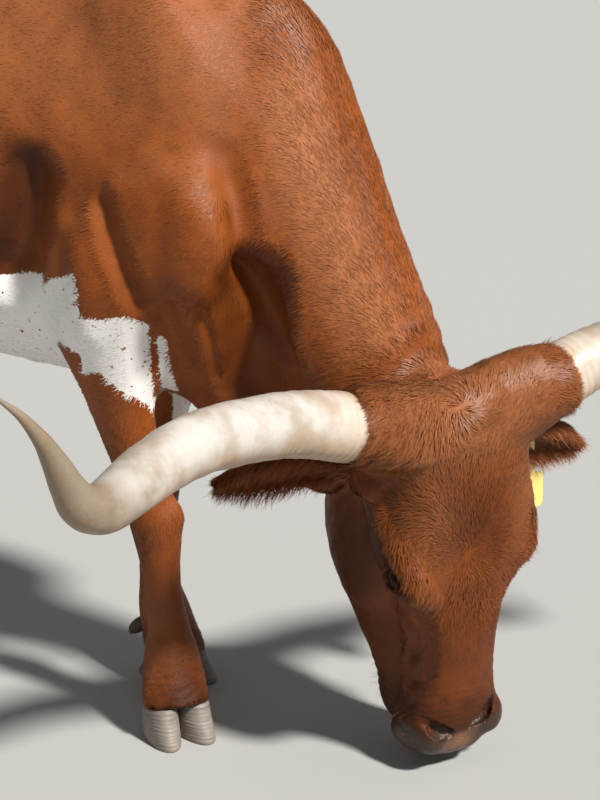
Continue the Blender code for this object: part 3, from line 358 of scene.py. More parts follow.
CHEST_FOLDS = (((0.325, -0.093, 0.805), (0.318, -0.060, 0.740), (0.300, -0.015, 0.680)),
               ((0.352, -0.090, 0.812), (0.345, -0.045, 0.745), (0.325, 0.000, 0.680)),
               ((0.385, -0.060, 0.800), (0.372, -0.025, 0.740), (0.350, 0.020, 0.670)))
BROW = ((0.128, 0.146, -0.098), (0.180, 0.140, -0.068), (0.222, 0.138, -0.030), (0.266, 0.122, -0.012),
        (0.308, 0.094, -0.016))
UNDER_BROW = ((0.150, 0.150, -0.115), (0.205, 0.146, -0.075), (0.262, 0.136, -0.048), (0.308, 0.110, -0.042))
NOSE_EDGE = ((0.330, 0.090, -0.040), (0.361, 0.078, -0.036), (0.415, 0.074, -0.047), (0.470, 0.070, -0.055))
FACE_VEIN = ((0.350, 0.096, -0.095), (0.380, 0.088, -0.078), (0.405, 0.080, -0.085), (0.430, 0.076, -0.110),
             (0.470, 0.073, -0.120), (0.520, 0.076, -0.118))
MOUTH = ((0.655, 0.000, -0.150), (0.648, 0.045, -0.155), (0.625, 0.078, -0.157), (0.580, 0.090, -0.157),
         (0.532, 0.084, -0.157))
FACE_FOLDS = (((0.372, 0.104, -0.080), (0.392, 0.098, -0.100), (0.398, 0.090, -0.125)),
              ((0.405, 0.070, -0.050), (0.432, 0.074, -0.070), (0.452, 0.076, -0.095)),
              ((0.470, 0.060, -0.045), (0.490, 0.070, -0.065), (0.500, 0.077, -0.095)),
              ((0.520, 0.050, -0.038), (0.534, 0.066, -0.060), (0.540, 0.078, -0.090)))
NOSTRIL = ((0.592, 0.022, 0.0060), (0.588, 0.033, 0.0100), (0.579, 0.047, 0.0110), (0.566, 0.060, 0.0080),
           (0.554, 0.070, 0.0040))
NOSE_ASIDE = -0.012
# Where shade is painted into the coat: behind the elbow, between neck and shoulder, and along the arm.
ELBOW_SHADE = ((0.070, -0.128, 1.020), (0.048, -0.134, 0.940), (0.020, -0.134, 0.885),
               (-0.015, -0.128, 0.835))
DARK_FOLDS = ((NECK_HOLLOW, 0.100), (ELBOW_SHADE, 0.085), (NECK_CREASE, 0.032), (ARM_LINE, 0.022))
# Where the hair of the crest parts from the hair of the neck, in a groove darkened with painted shade.
CREST_LINE = ((0.515, 0.120, 1.200), (0.550, 0.110, 1.109), (0.593, 0.097, 0.983), (0.655, 0.105, 0.830),
              (0.690, 0.110, 0.745))
# Where a sheen is painted along the side of the neck.
NECK_LIGHT = ((0.485, 0.045, 1.140), (0.508, 0.039, 1.063), (0.557, 0.052, 0.954), (0.583, 0.057, 0.876),
              (0.624, 0.068, 0.781))


def other_side(course):
    """The same course mirrored about the animal's middle plane."""
    return [(x, 2 * SHIFT[1] - y, z) for x, y, z in course]


def head_course(course, side):
    """A course of the face on one side, placed on the animal."""
    return [from_head((a, side * w, h)) for a, w, h in course]


def nostril_depth(points, side):
    """How deep a point lies in a nostril: a comma that is round toward the middle of the nose and
    drawn out to the side, as a groove whose half width changes along it."""
    course = [(a, side * w + NOSE_ASIDE, -0.040 - 0.25 * max(w - 0.045, 0.0), r) for a, w, r in NOSTRIL]
    rows = smooth_rows(course, 14)
    centres = from_head(rows[:, :3])
    reach = np.linalg.norm(points[:, None] - centres[None], axis=2) / (rows[:, 3] * 1.25)[None]
    return 1.0 - step(reach.min(axis=1), 0.55, 1.30)


# Height and half width of each long fold of the body, and of each line on one side of the face.
BODY_FOLDS = ((NECK_CREASE, -0.022, 0.045), (NECK_HOLLOW, -0.052, 0.085), (ELBOW_HOLLOW, -0.040, 0.075),
              (ARM_LINE, -0.016, 0.038), (SHOULDER_LINE, -0.009, 0.050), (ARM_RIDGE, 0.014, 0.085),
              (ELBOW_RIDGE, 0.008, 0.055)) + tuple((fold, -0.007, 0.016) for fold in CHEST_FOLDS)
FACE_LINES = ((UNDER_BROW, -0.016, 0.026), (NOSE_EDGE, -0.006, 0.020), (FACE_VEIN, 0.0085, 0.011),
              (MOUTH, -0.0070, 0.011)) + tuple((fold, -0.0060, 0.009) for fold in FACE_FOLDS)
LEFT_FOLDS = 0.55
BROW_HEIGHT = {-1.0: 0.014, 1.0: 0.004}


def folds(points):
    """Height of the hide's folds at each point, in metres."""
    part = regions(points)
    a, w, h, x, z, head = (part[k] for k in ("a", "w", "h", "x", "z", "head"))
    rise = -COAT_DEPTH * (1.0 - 0.7 * head * step(a, 0.50, 0.60)) * np.ones(len(points))
    on_right = points[:, 1] < SHIFT[1]
    for course_of, near, amount in ((list, on_right, 1.0), (other_side, ~on_right, LEFT_FOLDS)):
        body = sum(height * groove(points, course_of(course), width) for course, height, width in BODY_FOLDS)
        rise += body * near * amount
    rise -= 0.004 * groove(points, CREST_LINE, 0.024)
    rib = (np.sin((x + 0.25 * (z - 1.0)) * 2 * math.pi / 0.082) * step(x, -0.80, -0.65)
           * (1 - step(x, -0.34, -0.20)) * step(z, 0.74, 0.86) * (1 - step(z, 1.05, 1.20)))
    rise += 0.0008 * rib
    for side, brow_height in BROW_HEIGHT.items():
        rise += brow_height * groove(points, head_course(BROW, side), 0.036) * head
        for course, height, width in FACE_LINES:
            rise += height * groove(points, head_course(course, side), width) * head
        depth = nostril_depth(points, side)
        rise += (0.004 * np.sin(math.pi * np.clip(depth * 1.6, 0, 1)) - 0.008 * depth) * head
    front = step(h, -0.08, -0.03) * head
    rise -= 0.010 * bump(a, 0.215, 0.055) * bump(w, -0.008, 0.040) * front
    rise += 0.004 * bump(a, 0.285, 0.020) * bump(w, -0.008, 0.055) * front
    wrinkle = np.sin(a * 2 * math.pi / 0.014 + 2.4 * ripple(points, 0.05, 3))
    rise += 0.0008 * wrinkle * step(a, 0.47, 0.53) * (1 - step(a, 0.57, 0.61)) * head
    rise += 0.0012 * ripple(points, 0.060, 5) * (1.0 - part["leg"])
    neck_fold = np.sin((x - 0.9 * z) * 2 * math.pi / 0.055 + 1.5 * ripple(points, 0.20, 9))
    rise += 0.0012 * neck_fold * part["neck"] * (1 - step(z, 0.70, 0.95))
    return rise


points = read_points(skin)
points += mesh_normals(skin) * folds(points)[:, None]
skin.data.vertices.foreach_set("co", points.ravel())
skin.data.update()
ease(skin, 3, np.full(len(points), 0.7))
print("deepest fold:", round(float(folds(points).min()), 4), "m")

# %% [markdown]
# ## Room for the eyes
# The voxel skin closed over the sockets, so we open them again by measure. Round each eye we look
# along its line of sight: inside the almond of the slit the hide drops behind the ball, on the lids
# it lies over the ball, and a finger's breadth away it is left as it was.

# %% Open the sockets
EYE_AT = (0.272, 0.114, -0.066)
EYE_RADIUS = 0.0208
SLIT = (0.0255, 0.0108)


def eye_axes(side):
    """Centre of an eye, its line of sight, the length of its slit and the way across it."""
    centre = from_head((EYE_AT[0], side * EYE_AT[1], EYE_AT[2]))
    look = unit(0.38 * OUT + side * 0.90 * WIDE + 0.20 * FALL)
    along = 0.95 * FALL + 0.30 * OUT
    along = unit(along - look * (along @ look))
    return centre, look, along, np.cross(look, along) * side


def slit_half(y):
    """Half the height of the slit: the upper lid, where y is negative, droops over the ball."""
    return SLIT[1] * np.where(np.asarray(y) < 0, 0.62, 1.0)


def slit(x, y):
    """How far out from the middle of the almond a place is, 1 on its rim."""
    narrow = 1.0 - 0.25 * np.clip(x / SLIT[0], -1.0, 1.0) ** 2
    return np.sqrt((x / SLIT[0]) ** 2 + (y / (slit_half(y) * narrow)) ** 2)


def open_socket(points, side):
    """Points of the hide moved along the line of sight, by where they lie round the slit."""
    centre, look, along, across = eye_axes(side)
    q = points - centre
    x, y, d = q @ along, q @ across, q @ look
    out = np.hypot(x, y)
    ball = np.sqrt(np.maximum(EYE_RADIUS ** 2 - out ** 2, 0.0))
    lid = np.sqrt(np.maximum((EYE_RADIUS + 0.001) ** 2 - out ** 2, 0.0))
    wanted = np.where(slit(x, y) < 1.12, ball - 0.010, lid)
    hold = (1.0 - step(out, 0.022, 0.040)) * (d > -0.02) * (d < 0.07)
    return points + look * ((wanted - d) * hold)[:, None]


points = open_socket(open_socket(read_points(skin), -1.0), 1.0)
skin.data.vertices.foreach_set("co", points.ravel())
skin.data.update()


def near_detail(points):
    """Where the hide keeps its finest mesh: the muzzle, the veins of the face and the eyes."""
    a, w, h = to_head(points).T
    muzzle = step(a, 0.52, 0.55) * step(h, -0.26, -0.22)
    veins = (a > 0.355) * (a < 0.54) * (np.abs(w) > 0.045) * (h < -0.025) * (h > -0.135)
    eyes = np.zeros(len(points))
    for side in (-1.0, 1.0):
        eyes = np.maximum(eyes, np.linalg.norm(points - eye_axes(side)[0], axis=1) < 0.060)
    return np.maximum(np.maximum(muzzle, veins), eyes)


SKIN_TRIANGLES = 190000
fewer = skin.modifiers.new("fewer", "DECIMATE")
group = skin.vertex_groups.new(name="plain")
group.add(np.nonzero(near_detail(points) < 0.5)[0].tolist(), 1.0, "REPLACE")
fewer.vertex_group = "plain"
fewer.use_collapse_triangulate = True
fewer.ratio = SKIN_TRIANGLES / (2 * len(skin.data.polygons))
settle(skin)
skin.vertex_groups.clear()
skin.data.shade_smooth()
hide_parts(*FLESH)
print("skin finished:", len(skin.data.polygons), "triangles")

# %% [markdown]
# ## Markings
# The steer is red-brown, white under the belly, on the chest and in a ragged patch on the right
# foreleg. It is darker round the muzzle, on the cheeks, down the legs and in the deep folds, and
# paler along the back, the neck and the poll. The dark of the folds, the creases and the forehead's
# hollow is painted shade, and on the cheeks it is partly painted shade. Part of the pale is painted
# light: where the coat faces up, along the back, in a sheen down the neck and a highlight on the
# forehead. Both the skin and the hair read the same four numbers, worked out from the place on
# the body.

# %% White, dark and light at each point
# The leg's patch is outlined on an upright plane that faces the right front of the animal: how far
# a point lies toward the front left, and how high it is.
PATCH_ACROSS = np.array((0.819, 0.574, 0.0))
LEG_PATCH = ((0.006, 0.819), (0.034, 0.838), (0.072, 0.858), (0.078, 0.808), (0.084, 0.780), (0.168, 0.789),
             (0.191, 0.773), (0.191, 0.702), (0.194, 0.602), (0.177, 0.626), (0.148, 0.645), (0.134, 0.656),
             (0.108, 0.683), (0.077, 0.678), (0.073, 0.717), (0.042, 0.725), (0.017, 0.715), (0.011, 0.784))
CHEST_PATCH = ((0.204, 0.757), (0.2185, 0.745), (0.221, 0.700), (0.236, 0.600), (0.250, 0.520),
               (0.206, 0.500), (0.206, 0.600), (0.204, 0.700))


def inside(s, z, outline):
    """Distance to an outline on a plane, positive inside it: the least distance to any edge, with
    its sign from how many edges a level line crosses."""
    outline = np.array(outline)
    far, odd = np.full(len(s), 1e9), np.zeros(len(s), dtype=bool)
    for (s0, z0), (s1, z1) in zip(outline, np.roll(outline, -1, axis=0)):
        t = np.clip(((s - s0) * (s1 - s0) + (z - z0) * (z1 - z0)) / ((s1 - s0) ** 2 + (z1 - z0) ** 2), 0, 1)
        far = np.minimum(far, np.hypot(s - s0 - t * (s1 - s0), z - z0 - t * (z1 - z0)))
        odd ^= ((z0 > z) != (z1 > z)) & (s < s0 + (z - z0) * (s1 - s0) / np.where(z1 == z0, 1e-9, z1 - z0))
    return np.where(odd, far, -far)


def bare_nose(points, part):
    """1 on the pad of the nose and round the nostrils, where no hair grows."""
    a, w, h = part["a"], part["w"], part["h"]
    aside = np.abs(w - NOSE_ASIDE)
    pad = step(a + 0.35 * np.maximum(aside - 0.03, 0), 0.588, 0.606) * step(h, -0.128, -0.104)
    round_them = np.maximum(nostril_depth(points, -1.0), nostril_depth(points, 1.0))
    return part["head"] * np.maximum(pad, step(round_them, 0.02, 0.35))


def white_share(points, normals, part):
    """White of the belly, of the leg's patch and of the chest, fading over 2 cm at its edge."""
    x, y, z = part["x"], part["y"], part["z"]
    left = step(y, -0.05, 0.08)
    high = 0.838 - 0.10 * step(-x, 0.15, 0.60) - 0.05 * step(-x, 0.60, 0.90)
    high = high + 0.006 * ripple(points, 0.09, 31) + left * (0.022 * ripple(points, 0.17, 34) - 0.035)
    front =-0.150 - left * (0.055 + 0.35 * np.clip(z - 0.60, 0, 0.3) + 0.030 * ripple(points, 0.12, 35))
    belly = np.minimum(np.minimum(high - z, z - 0.585), np.minimum(x + 0.95, front - x))
    s = points @ PATCH_ACROSS
    leg = inside(s, z, LEG_PATCH) + 0.004 * ripple(points, 0.030, 33)
    leg = np.where((y < -0.02) & (x > -0.30), leg, -1.0)
    far_leg = (normals[:, 1] < 0.3) & (x > -0.20) & (z < 0.58) & (z > 0.46)
    chest = np.where((x > 0.0) | far_leg, inside(s, z, CHEST_PATCH), -1.0)
    white = np.clip(0.5 + np.maximum(belly, np.maximum(leg, chest)) / 0.020, 0.0, 1.0)
    return white * (1.0 - part["head"])


def depth_of_shade(points):
    """Painted shade: 1 in the middle of the deep folds of the body and the face, 0 away from them."""
    shares = []
    for course, width in DARK_FOLDS:
        shares.append(groove(points, course, width))
        shares.append(0.3 * groove(points, other_side(course), width))
    for side in (-1.0, 1.0):
        shares.append(0.95 * groove(points, head_course(UNDER_BROW, side), 0.038))
        shares.append(groove(points, head_course(MOUTH, side), 0.009))
        shares += [0.8 * groove(points, head_course(fold, side), 0.009) for fold in FACE_FOLDS]
    return np.maximum.reduce(shares)


def dark_share(points, part, under):
    """Dark of the lower legs, face, muzzle and cheeks, with painted shade in the folds and partly on the
    cheeks.
    """
    a, w, h, head = (part[k] for k in ("a", "w", "h", "head"))
    # The face darkens toward the muzzle; the bell between the brows is painted shade in the forehead's
    # hollow.
    face = 0.22 + 0.36 * step(a, 0.26, 0.46) + 0.22 * bump(a, 0.20, 0.07) * bump(w, -0.01, 0.05)
    # The cheeks are darker partly by their own colour and partly by painted shade under the brow; the brow
    # ridge itself is spared.
    cheek = 0.82 * step(np.abs(w), 0.075, 0.115) * step(a, 0.10, 0.18) * step(-h, 0.02, 0.06)
    for side in (-1.0, 1.0):
        cheek *= 1 - 0.75 * groove(points, head_course(BROW, side), 0.050)
    # The folds' share, under, is painted shade, and so is the dark along the crest's groove.
    return np.maximum.reduce([0.24 * part["leg"] * (1 - step(part["z"], 0.34, 0.50)),
                              head * np.maximum(face, cheek), head * 0.90 * step(a, 0.42, 0.58),
                              0.86 * step(under, 0.0, 0.9), 0.32 * groove(points, CREST_LINE, 0.022)])


def light_share(points, normals, part, under):
    """Paler hair of the poll and the ankles, and painted light on the back, the neck's sides and the
    forehead.
    """
    a, w, z, head, neck, leg = (part[k] for k in ("a", "w", "z", "head", "neck", "leg"))
    # Painted light: paler where the coat faces up, and along the top of the back.
    shares = [0.45 * step(normals[:, 2], 0.1, 0.9) * (1 - head) * (1 - 0.6 * neck),
              0.42 * step(z, 0.98, 1.20) * (1 - head) * (1 - neck),
              # The ankles and the poll are paler hair; the bell on the forehead is a painted highlight.
              0.28 * leg * (1 - step(z, 0.16, 0.36)),
              0.66 * head * (1 - step(a, 0.03, 0.14)) * (1 - 0.5 * step(np.abs(w), 0.08, 0.16)),
              0.45 * head * bump(a, 0.17, 0.10) * bump(np.abs(w), 0.080, 0.035)]
    # A painted sheen down each side of the neck; no painted light falls in the painted shade of the folds.
    shares += [0.85 * groove(points, course, 0.100) * neck for course in (NECK_LIGHT, other_side(NECK_LIGHT))]
    return np.maximum.reduce(shares) * (1 - 0.8 * step(under, 0.1, 0.7))


def marks(points, normals):
    """Four shares at each point: white, dark, bare nose and light. The pad of the nose stays tan."""
    part = regions(points)
    under = depth_of_shade(points)
    dark, nose = dark_share(points, part, under), bare_nose(points, part)
    dark *= 1 - 0.85 * nose * bump(part["w"], NOSE_ASIDE - 0.004, 0.034) * step(part["a"], 0.590, 0.606)
    light = light_share(points, normals, part, under)
    return np.stack([white_share(points, normals, part), dark, nose, light], axis=1)


def pits(points):
    """How far a point lies inside a nostril or an eye's slit, where the hide is bare and is painted
    near-black as shade.
    """
    pit = np.zeros(len(points))
    for side in (-1.0, 1.0):
        centre, _, along, across = eye_axes(side)
        q = points - centre
        near = (np.linalg.norm(q, axis=1) < 0.05) * (1 - step(slit(q @ along, q @ across), 1.10, 1.35))
        pit = np.maximum(pit, np.maximum(near, nostril_depth(points, side)))
    return pit


skin_points, skin_normals = read_points(skin), mesh_normals(skin)
skin_marks = marks(skin_points, skin_normals)
write_layer(skin, "Marks", skin_marks)
skin_part = regions(skin_points)
skin_tone = np.clip(0.5 + 0.14 * ripple(skin_points, 0.04, 22), 0, 1)
skin_pits = pits(skin_points)
write_layer(skin, "Strand", np.stack([np.zeros(len(skin_points)), skin_tone, skin_pits], axis=1))
print("white share of the hide:", round(float((skin_marks[:, 0] > 0.5).mean()), 3))

# %% [markdown]
# ## Finishes
# Red hair is never one colour: every tuft differs a little, tips bleach in the sun and roots stay
# dark. The coat's material mixes these from the layers on the mesh, and breaks the edge of each
# white mark with a fine noise so that red hairs stand in the white, as on the real animal.

# %% A material helper and the coat
class Finish:
    """A node material written as short sums: each call adds one node and returns its result."""

    def __init__(self, name):
        self.made = bpy.data.materials.new(name)
        self.made.use_nodes = True
        self.tree = self.made.node_tree
        self.shader = self.tree.nodes["Principled BSDF"]

    def node(self, kind, **settings):
        """A node with its own settings."""
        made = self.tree.nodes.new(kind)
        for key, value in settings.items():
            setattr(made, key, value)
        return made

    def join(self, value, socket):
        """A number or colour set on a socket, or a result led to it."""
        if hasattr(value, "node"):
            self.tree.links.new(value, socket)
        elif isinstance(value, (tuple, list)) and len(value) == 3 and len(socket.default_value) == 4:
            socket.default_value = (*value, 1.0)
        else:
            socket.default_value = value

    def sum(self, operation, one, two):
        """Arithmetic on two numbers."""
        made = self.node("ShaderNodeMath", operation=operation)
        for value, socket in zip((one, two), made.inputs):
            self.join(value, socket)
        return made.outputs[0]

    def ramp(self, value, low, high, start=0.0, end=1.0):
        """A value moved from low..high to start..end and held there."""
        made = self.node("ShaderNodeMapRange", interpolation_type="SMOOTHSTEP")
        for each, socket in zip((value, low, high, start, end), made.inputs):
            self.join(each, socket)
        return made.outputs[0]

    def mix(self, share, one, two, blend="MIX"):
        """One colour turned into another by a share."""
        made = self.node("ShaderNodeMix", data_type="RGBA", blend_type=blend)
        self.join(share, made.inputs[0])
        self.join(one, made.inputs[6])
        self.join(two, made.inputs[7])
        return made.outputs[2]

    def place(self, stretch=(1.0, 1.0, 1.0)):
        """The object's own coordinates, stretched."""
        where = self.node("ShaderNodeTexCoord").outputs["Object"]
        moved = self.node("ShaderNodeMapping")
        self.join(where, moved.inputs[0])
        moved.inputs["Scale"].default_value = stretch
        return moved.outputs[0]

    def noise(self, size, detail=3.0, where=None):
        """A noise whose grains are about 1 / size metres."""
        made = self.node("ShaderNodeTexNoise")
        self.join(where or self.place(), made.inputs["Vector"])
        made.inputs["Scale"].default_value = size
        made.inputs["Detail"].default_value = detail
        made.inputs["Roughness"].default_value = 0.55
        return made.outputs["Fac"]

    def layer(self, name):
        """The parts of a colour layer on the mesh."""
        read = self.node("ShaderNodeAttribute", attribute_type="GEOMETRY", attribute_name=name)
        parts = self.node("ShaderNodeSeparateColor")
        self.join(read.outputs["Color"], parts.inputs[0])
        return parts.outputs[0], parts.outputs[1], parts.outputs[2], read.outputs["Alpha"]

    def relief(self, height, depth, strength=1.0):
        """A bump from a height, led to the shader's normal."""
        made = self.node("ShaderNodeBump")
        made.inputs["Strength"].default_value = strength
        made.inputs["Distance"].default_value = depth
        self.join(height, made.inputs["Height"])
        self.join(made.outputs[0], self.shader.inputs["Normal"])

    def set(self, **values):
        """Values or results for the shader's own sockets."""
        for key, value in values.items():
            self.join(value, self.shader.inputs[key.replace("_", " ")])


RED = (0.275, 0.067, 0.009)
RED_DARK = (0.120, 0.027, 0.005)
RED_LIGHT = (0.460, 0.178, 0.072)
WHITE_HAIR = (0.930, 0.915, 0.890)
WHITE_DULL = (0.86, 0.83, 0.78)
DARKENED = (0.17, 0.14, 0.12)
NOSE_DARK = (0.060, 0.030, 0.018)
NOSE_DARKEST = (0.034, 0.017, 0.011)
NOSE_TAN = (0.200, 0.095, 0.048)
PIT_DARK = (0.010, 0.005, 0.004)


def coat_colour(finish):
    """The hair's colour from its layers: red by tone, then light, dark, white and bare nose."""
    white, dark, nose, light = finish.layer("Marks")
    along, tone, pit, _ = finish.layer("Strand")
    broad = finish.noise(9.0, 3.0)
    fine = finish.noise(230.0, 2.0)
    shade = finish.sum("ADD", finish.sum("MULTIPLY", tone, 0.4), finish.sum("MULTIPLY", broad, 0.6))
    red = finish.mix(finish.ramp(shade, 0.16, 0.68), RED_DARK, RED)
    red = finish.mix(finish.sum("MULTIPLY", light, finish.ramp(fine, 0.35, 0.75, 0.7, 1.0)), red, RED_LIGHT)
    red = finish.mix(finish.sum("MULTIPLY", finish.ramp(along, 0.35, 1.0), 0.30), red, RED_LIGHT)
    red = finish.mix(dark, red, finish.mix(1.0, red, DARKENED, "MULTIPLY"))
    speck = finish.ramp(finish.noise(95.0, 1.0), 0.70, 0.74, 0.0, 0.9)
    ragged = finish.sum("ADD", white, finish.sum("MULTIPLY", finish.sum("SUBTRACT", fine, 0.5), 0.8))
    edge = finish.sum("MULTIPLY", finish.ramp(ragged, 0.44, 0.56), finish.sum("SUBTRACT", 1.0, speck))
    mixed = finish.mix(edge, red, finish.mix(tone, WHITE_DULL, WHITE_HAIR))
    skin_tone = finish.mix(finish.ramp(finish.noise(26.0, 3.0), 0.38, 0.68), NOSE_DARK, NOSE_TAN)
    skin_tone = finish.mix(dark, skin_tone, NOSE_DARKEST)
    # In the pits the hide turns near-black: painted shade inside the nostrils and behind the eye's slit, and
    # the lids' own dark on their wet rims.
    return finish.mix(pit, finish.mix(nose, mixed, skin_tone), PIT_DARK)


skin_finish = Finish("hide")
lines = skin_finish.noise(420.0, 2.0, skin_finish.place((0.22, 1.0, 1.0)))
pores = skin_finish.noise(900.0, 2.0)
pebbles = skin_finish.node("ShaderNodeTexVoronoi")
skin_finish.join(skin_finish.place(), pebbles.inputs["Vector"])
pebbles.inputs["Scale"].default_value = 330.0
bare = skin_finish.layer("Marks")[2]
hairy = skin_finish.sum("ADD", lines, skin_finish.sum("MULTIPLY", pores, 0.5))
haired = skin_finish.sum("MULTIPLY", hairy, skin_finish.sum("SUBTRACT", 1.0, bare))
pebbled = skin_finish.sum("MULTIPLY", pebbles.outputs["Distance"], skin_finish.sum("MULTIPLY", bare, -1.2))
height = skin_finish.sum("ADD", haired, pebbled)
skin_finish.relief(height, 0.0012, 0.7)
skin_finish.set(Base_Color=coat_colour(skin_finish), Roughness=skin_finish.ramp(bare, 0.0, 1.0, 0.50, 0.36),
                Specular_IOR_Level=skin_finish.ramp(bare, 0.0, 1.0, 0.22, 0.40))
skin.data.materials.clear()
skin.data.materials.append(skin_finish.made)

hair_finish = Finish("hair")
hair_finish.set(Base_Color=coat_colour(hair_finish), Roughness=0.46, Specular_IOR_Level=0.24)

# %% [markdown]
# ## Horns
# Each horn is living horn over a bony core: pale and smooth for most of its reach, with fine rings,
# a tan flush at the hair line and a brown tip. It is swept along the same path as the solid. The
# rings are real waves in its surface close to the head, and fade toward the tip.

# %% Horns
HORN_PATH = (
    (-0.010, 0.185, -0.066, 0.0540), (-0.022, 0.213, -0.065, 0.0545), (-0.057, 0.308, -0.058, 0.0508),
    (-0.084, 0.410, -0.035, 0.0482), (-0.108, 0.526, 0.005, 0.0457), (-0.112, 0.625, 0.050, 0.0423),
    (-0.110, 0.681, 0.080, 0.0390), (-0.114, 0.727, 0.105, 0.0352), (-0.138, 0.763, 0.122, 0.0298),
    (-0.177, 0.784, 0.132, 0.0228), (-0.221, 0.803, 0.140, 0.0166), (-0.259, 0.821, 0.145, 0.0112),
    (-0.296, 0.844, 0.145, 0.0062), (-0.324, 0.869, 0.140, 0.0026))
LEFT_DROOP = 0.14
HORN_ROWS = 330
HORN_AROUND = 56
HORN_RINGS = 62


def horn_rows(side):
    """The path and radius of a horn on the animal, closely spaced."""
    rows = smooth_rows(HORN_PATH, HORN_ROWS)
    a, w, h, r = rows.T
    a = a + (LEFT_DROOP * w if side > 0 else 0.0)
    return from_head(np.stack([a, side * w, h], axis=1)), r


def horn(name, side):
    """A horn: a round profile on its path, with ring waves that die out toward the tip."""
    path, radius = horn_rows(side)
    along = np.linspace(0.0, 1.0, len(path))
    rings = tube_points(path, OUT, radius, radius, HORN_AROUND)
    out = unit(rings - path[:, None])
    flat = rings.reshape(-1, 3)
    wave = np.sin(2 * math.pi * (along * HORN_RINGS + 1.2 * np.sin(along * 23)))[:, None]
    wave = wave * np.exp(-along * 5.0)[:, None]
    uneven = ripple(flat, 0.05, 11).reshape(rings.shape[:2]) * 0.0008
    rise = 0.0007 * wave + uneven * np.minimum(radius / 0.03, 1.0)[:, None]
    made = closed_tube("sheath_" + name, rings + out * rise[..., None])
    # How far each point faces down, for the underside's tan stain and painted shade.
    under = 0.5 - 0.5 * out[..., 2].ravel()
    layer = np.stack([np.repeat(along, HORN_AROUND), under], axis=1)
    write_layer(made, "Along", np.concatenate([layer, [(0.0, 0.5), (1.0, 0.5)]]))
    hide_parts(name)
    return made


horn_finish = Finish("horn")
reach, under, _, _ = horn_finish.layer("Along")
cloud = horn_finish.noise(14.0, 4.0)
streak = horn_finish.noise(160.0, 3.0)
body_tone = horn_finish.mix(horn_finish.ramp(cloud, 0.40, 0.66), (0.56, 0.530, 0.490), (0.40, 0.335, 0.265))
body_tone = horn_finish.mix(horn_finish.ramp(reach, 0.0, 0.20, 0.50, 0.0), body_tone, (0.62, 0.42, 0.26))
# The underside turns tan: partly a stain, partly painted shade and a painted warm reflection of the coat.
low = horn_finish.ramp(horn_finish.sum("ADD", under, horn_finish.sum("MULTIPLY", cloud, 0.5)), 0.65, 1.15)
body_tone = horn_finish.mix(horn_finish.sum("MULTIPLY", low, 0.60), body_tone, (0.44, 0.27, 0.14))
bend = horn_finish.ramp(horn_finish.sum("ADD", reach, horn_finish.sum("MULTIPLY", cloud, 0.16)), 0.62, 0.82)
body_tone = horn_finish.mix(horn_finish.sum("MULTIPLY", bend, 0.85), body_tone, (0.205, 0.145, 0.085))
body_tone = horn_finish.mix(horn_finish.ramp(streak, 0.55, 0.8, 0.0, 0.35), body_tone, (0.42, 0.30, 0.20))
horn_finish.relief(streak, 0.0008, 0.5)
horn_finish.set(Base_Color=body_tone, Roughness=horn_finish.ramp(bend, 0.0, 1.0, 0.34, 0.55))
for word, side in (("right", -1.0), ("left", 1.0)):
    made = horn("horn_" + word, side)
    made.data.materials.append(horn_finish.made)
    print(made.name, len(made.data.polygons), "faces")

# %% [markdown]
# ## Hooves
# A cloven hoof is two claws of horn, slightly leaned, with level growth rings and a worn edge at
# the ground. Each claw is one profile of a superellipse carried up from the sole, and two small
# dewclaws sit behind the ankle.

# %% Claws and dewclaws
def power_wave(wave, exponent):
    """A sine flattened as in a superellipse: sign(s) |s|^(2/n)."""
    return np.sign(wave) * np.abs(wave) ** (2.0 / exponent)


CLAW_ROWS = ((0.0, 0.064, 0.048, 0.0262), (0.014, 0.060, 0.049, 0.0268),
             (0.036, 0.047, 0.048, 0.0262), (0.058, 0.036, 0.045, 0.0245))
CLAW_HIGH = CLAW_ROWS[-1][0]
DEWCLAW_ROWS = ((-0.040, 0.020, 0.118, 0.0135), (-0.056, 0.025, 0.108, 0.0140),
                (-0.068, 0.028, 0.098, 0.0105), (-0.075, 0.029, 0.091, 0.0050))


def with_foot(points, foot):
    """The right front foot points out to the side, so its hooves turn about its own upright line."""
    turn = FOOT_TURN if foot is FEET["front_right"] else 0.0
    q = points - np.array((*foot, 0.0)) - SHIFT
    turned = np.stack([q[..., 0] * math.cos(turn) - q[..., 1] * math.sin(turn),
                       q[..., 0] * math.sin(turn) + q[..., 1] * math.cos(turn), q[..., 2]], axis=-1)
    return turned + np.array((*foot, 0.0)) + SHIFT


def claw(name, foot, side, size, ahead):
    """One half of a hoof: z rises from the sole to 58 mm, and the front leans back with it."""
    z = np.linspace(0.0, CLAW_HIGH, 40)
    table = np.array(CLAW_ROWS)
    front, back, half = (np.interp(z, table[:, 0], table[:, k]) for k in (1, 2, 3))
    t = np.linspace(0.0, 2 * math.pi, 48, endpoint=False)[None, :]
    lean = np.where(np.cos(t) >= 0, front[:, None], back[:, None])
    n = np.where(np.cos(t) >= 0, 1.9, 2.6)
    ring = 0.0005 * np.sin(z * 2 * math.pi / 0.0052 + 0.8 * np.sin(z * 300))[:, None]
    sole = 1.0 - 0.06 * (1 - step(z, 0.0, 0.003))[:, None]
    px = power_wave(np.cos(t), n) * (lean + ring) * sole
    py = power_wave(np.sin(t), 2.3) * (half[:, None] + ring) * sole
    py = py + side * 0.004 * (px / 0.06) * (1.0 - z[:, None] / 0.08)
    pz = z[:, None] + px * 0.17 * step(z, 0.036, CLAW_HIGH)[:, None]
    centre = np.array((foot[0] + ahead, foot[1] + side * 0.0286 * size, 0.0)) + SHIFT
    made = closed_tube("toe_" + name, with_foot(centre + np.stack([px, py, pz], axis=-1) * size, foot))
    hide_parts(name)
    return made


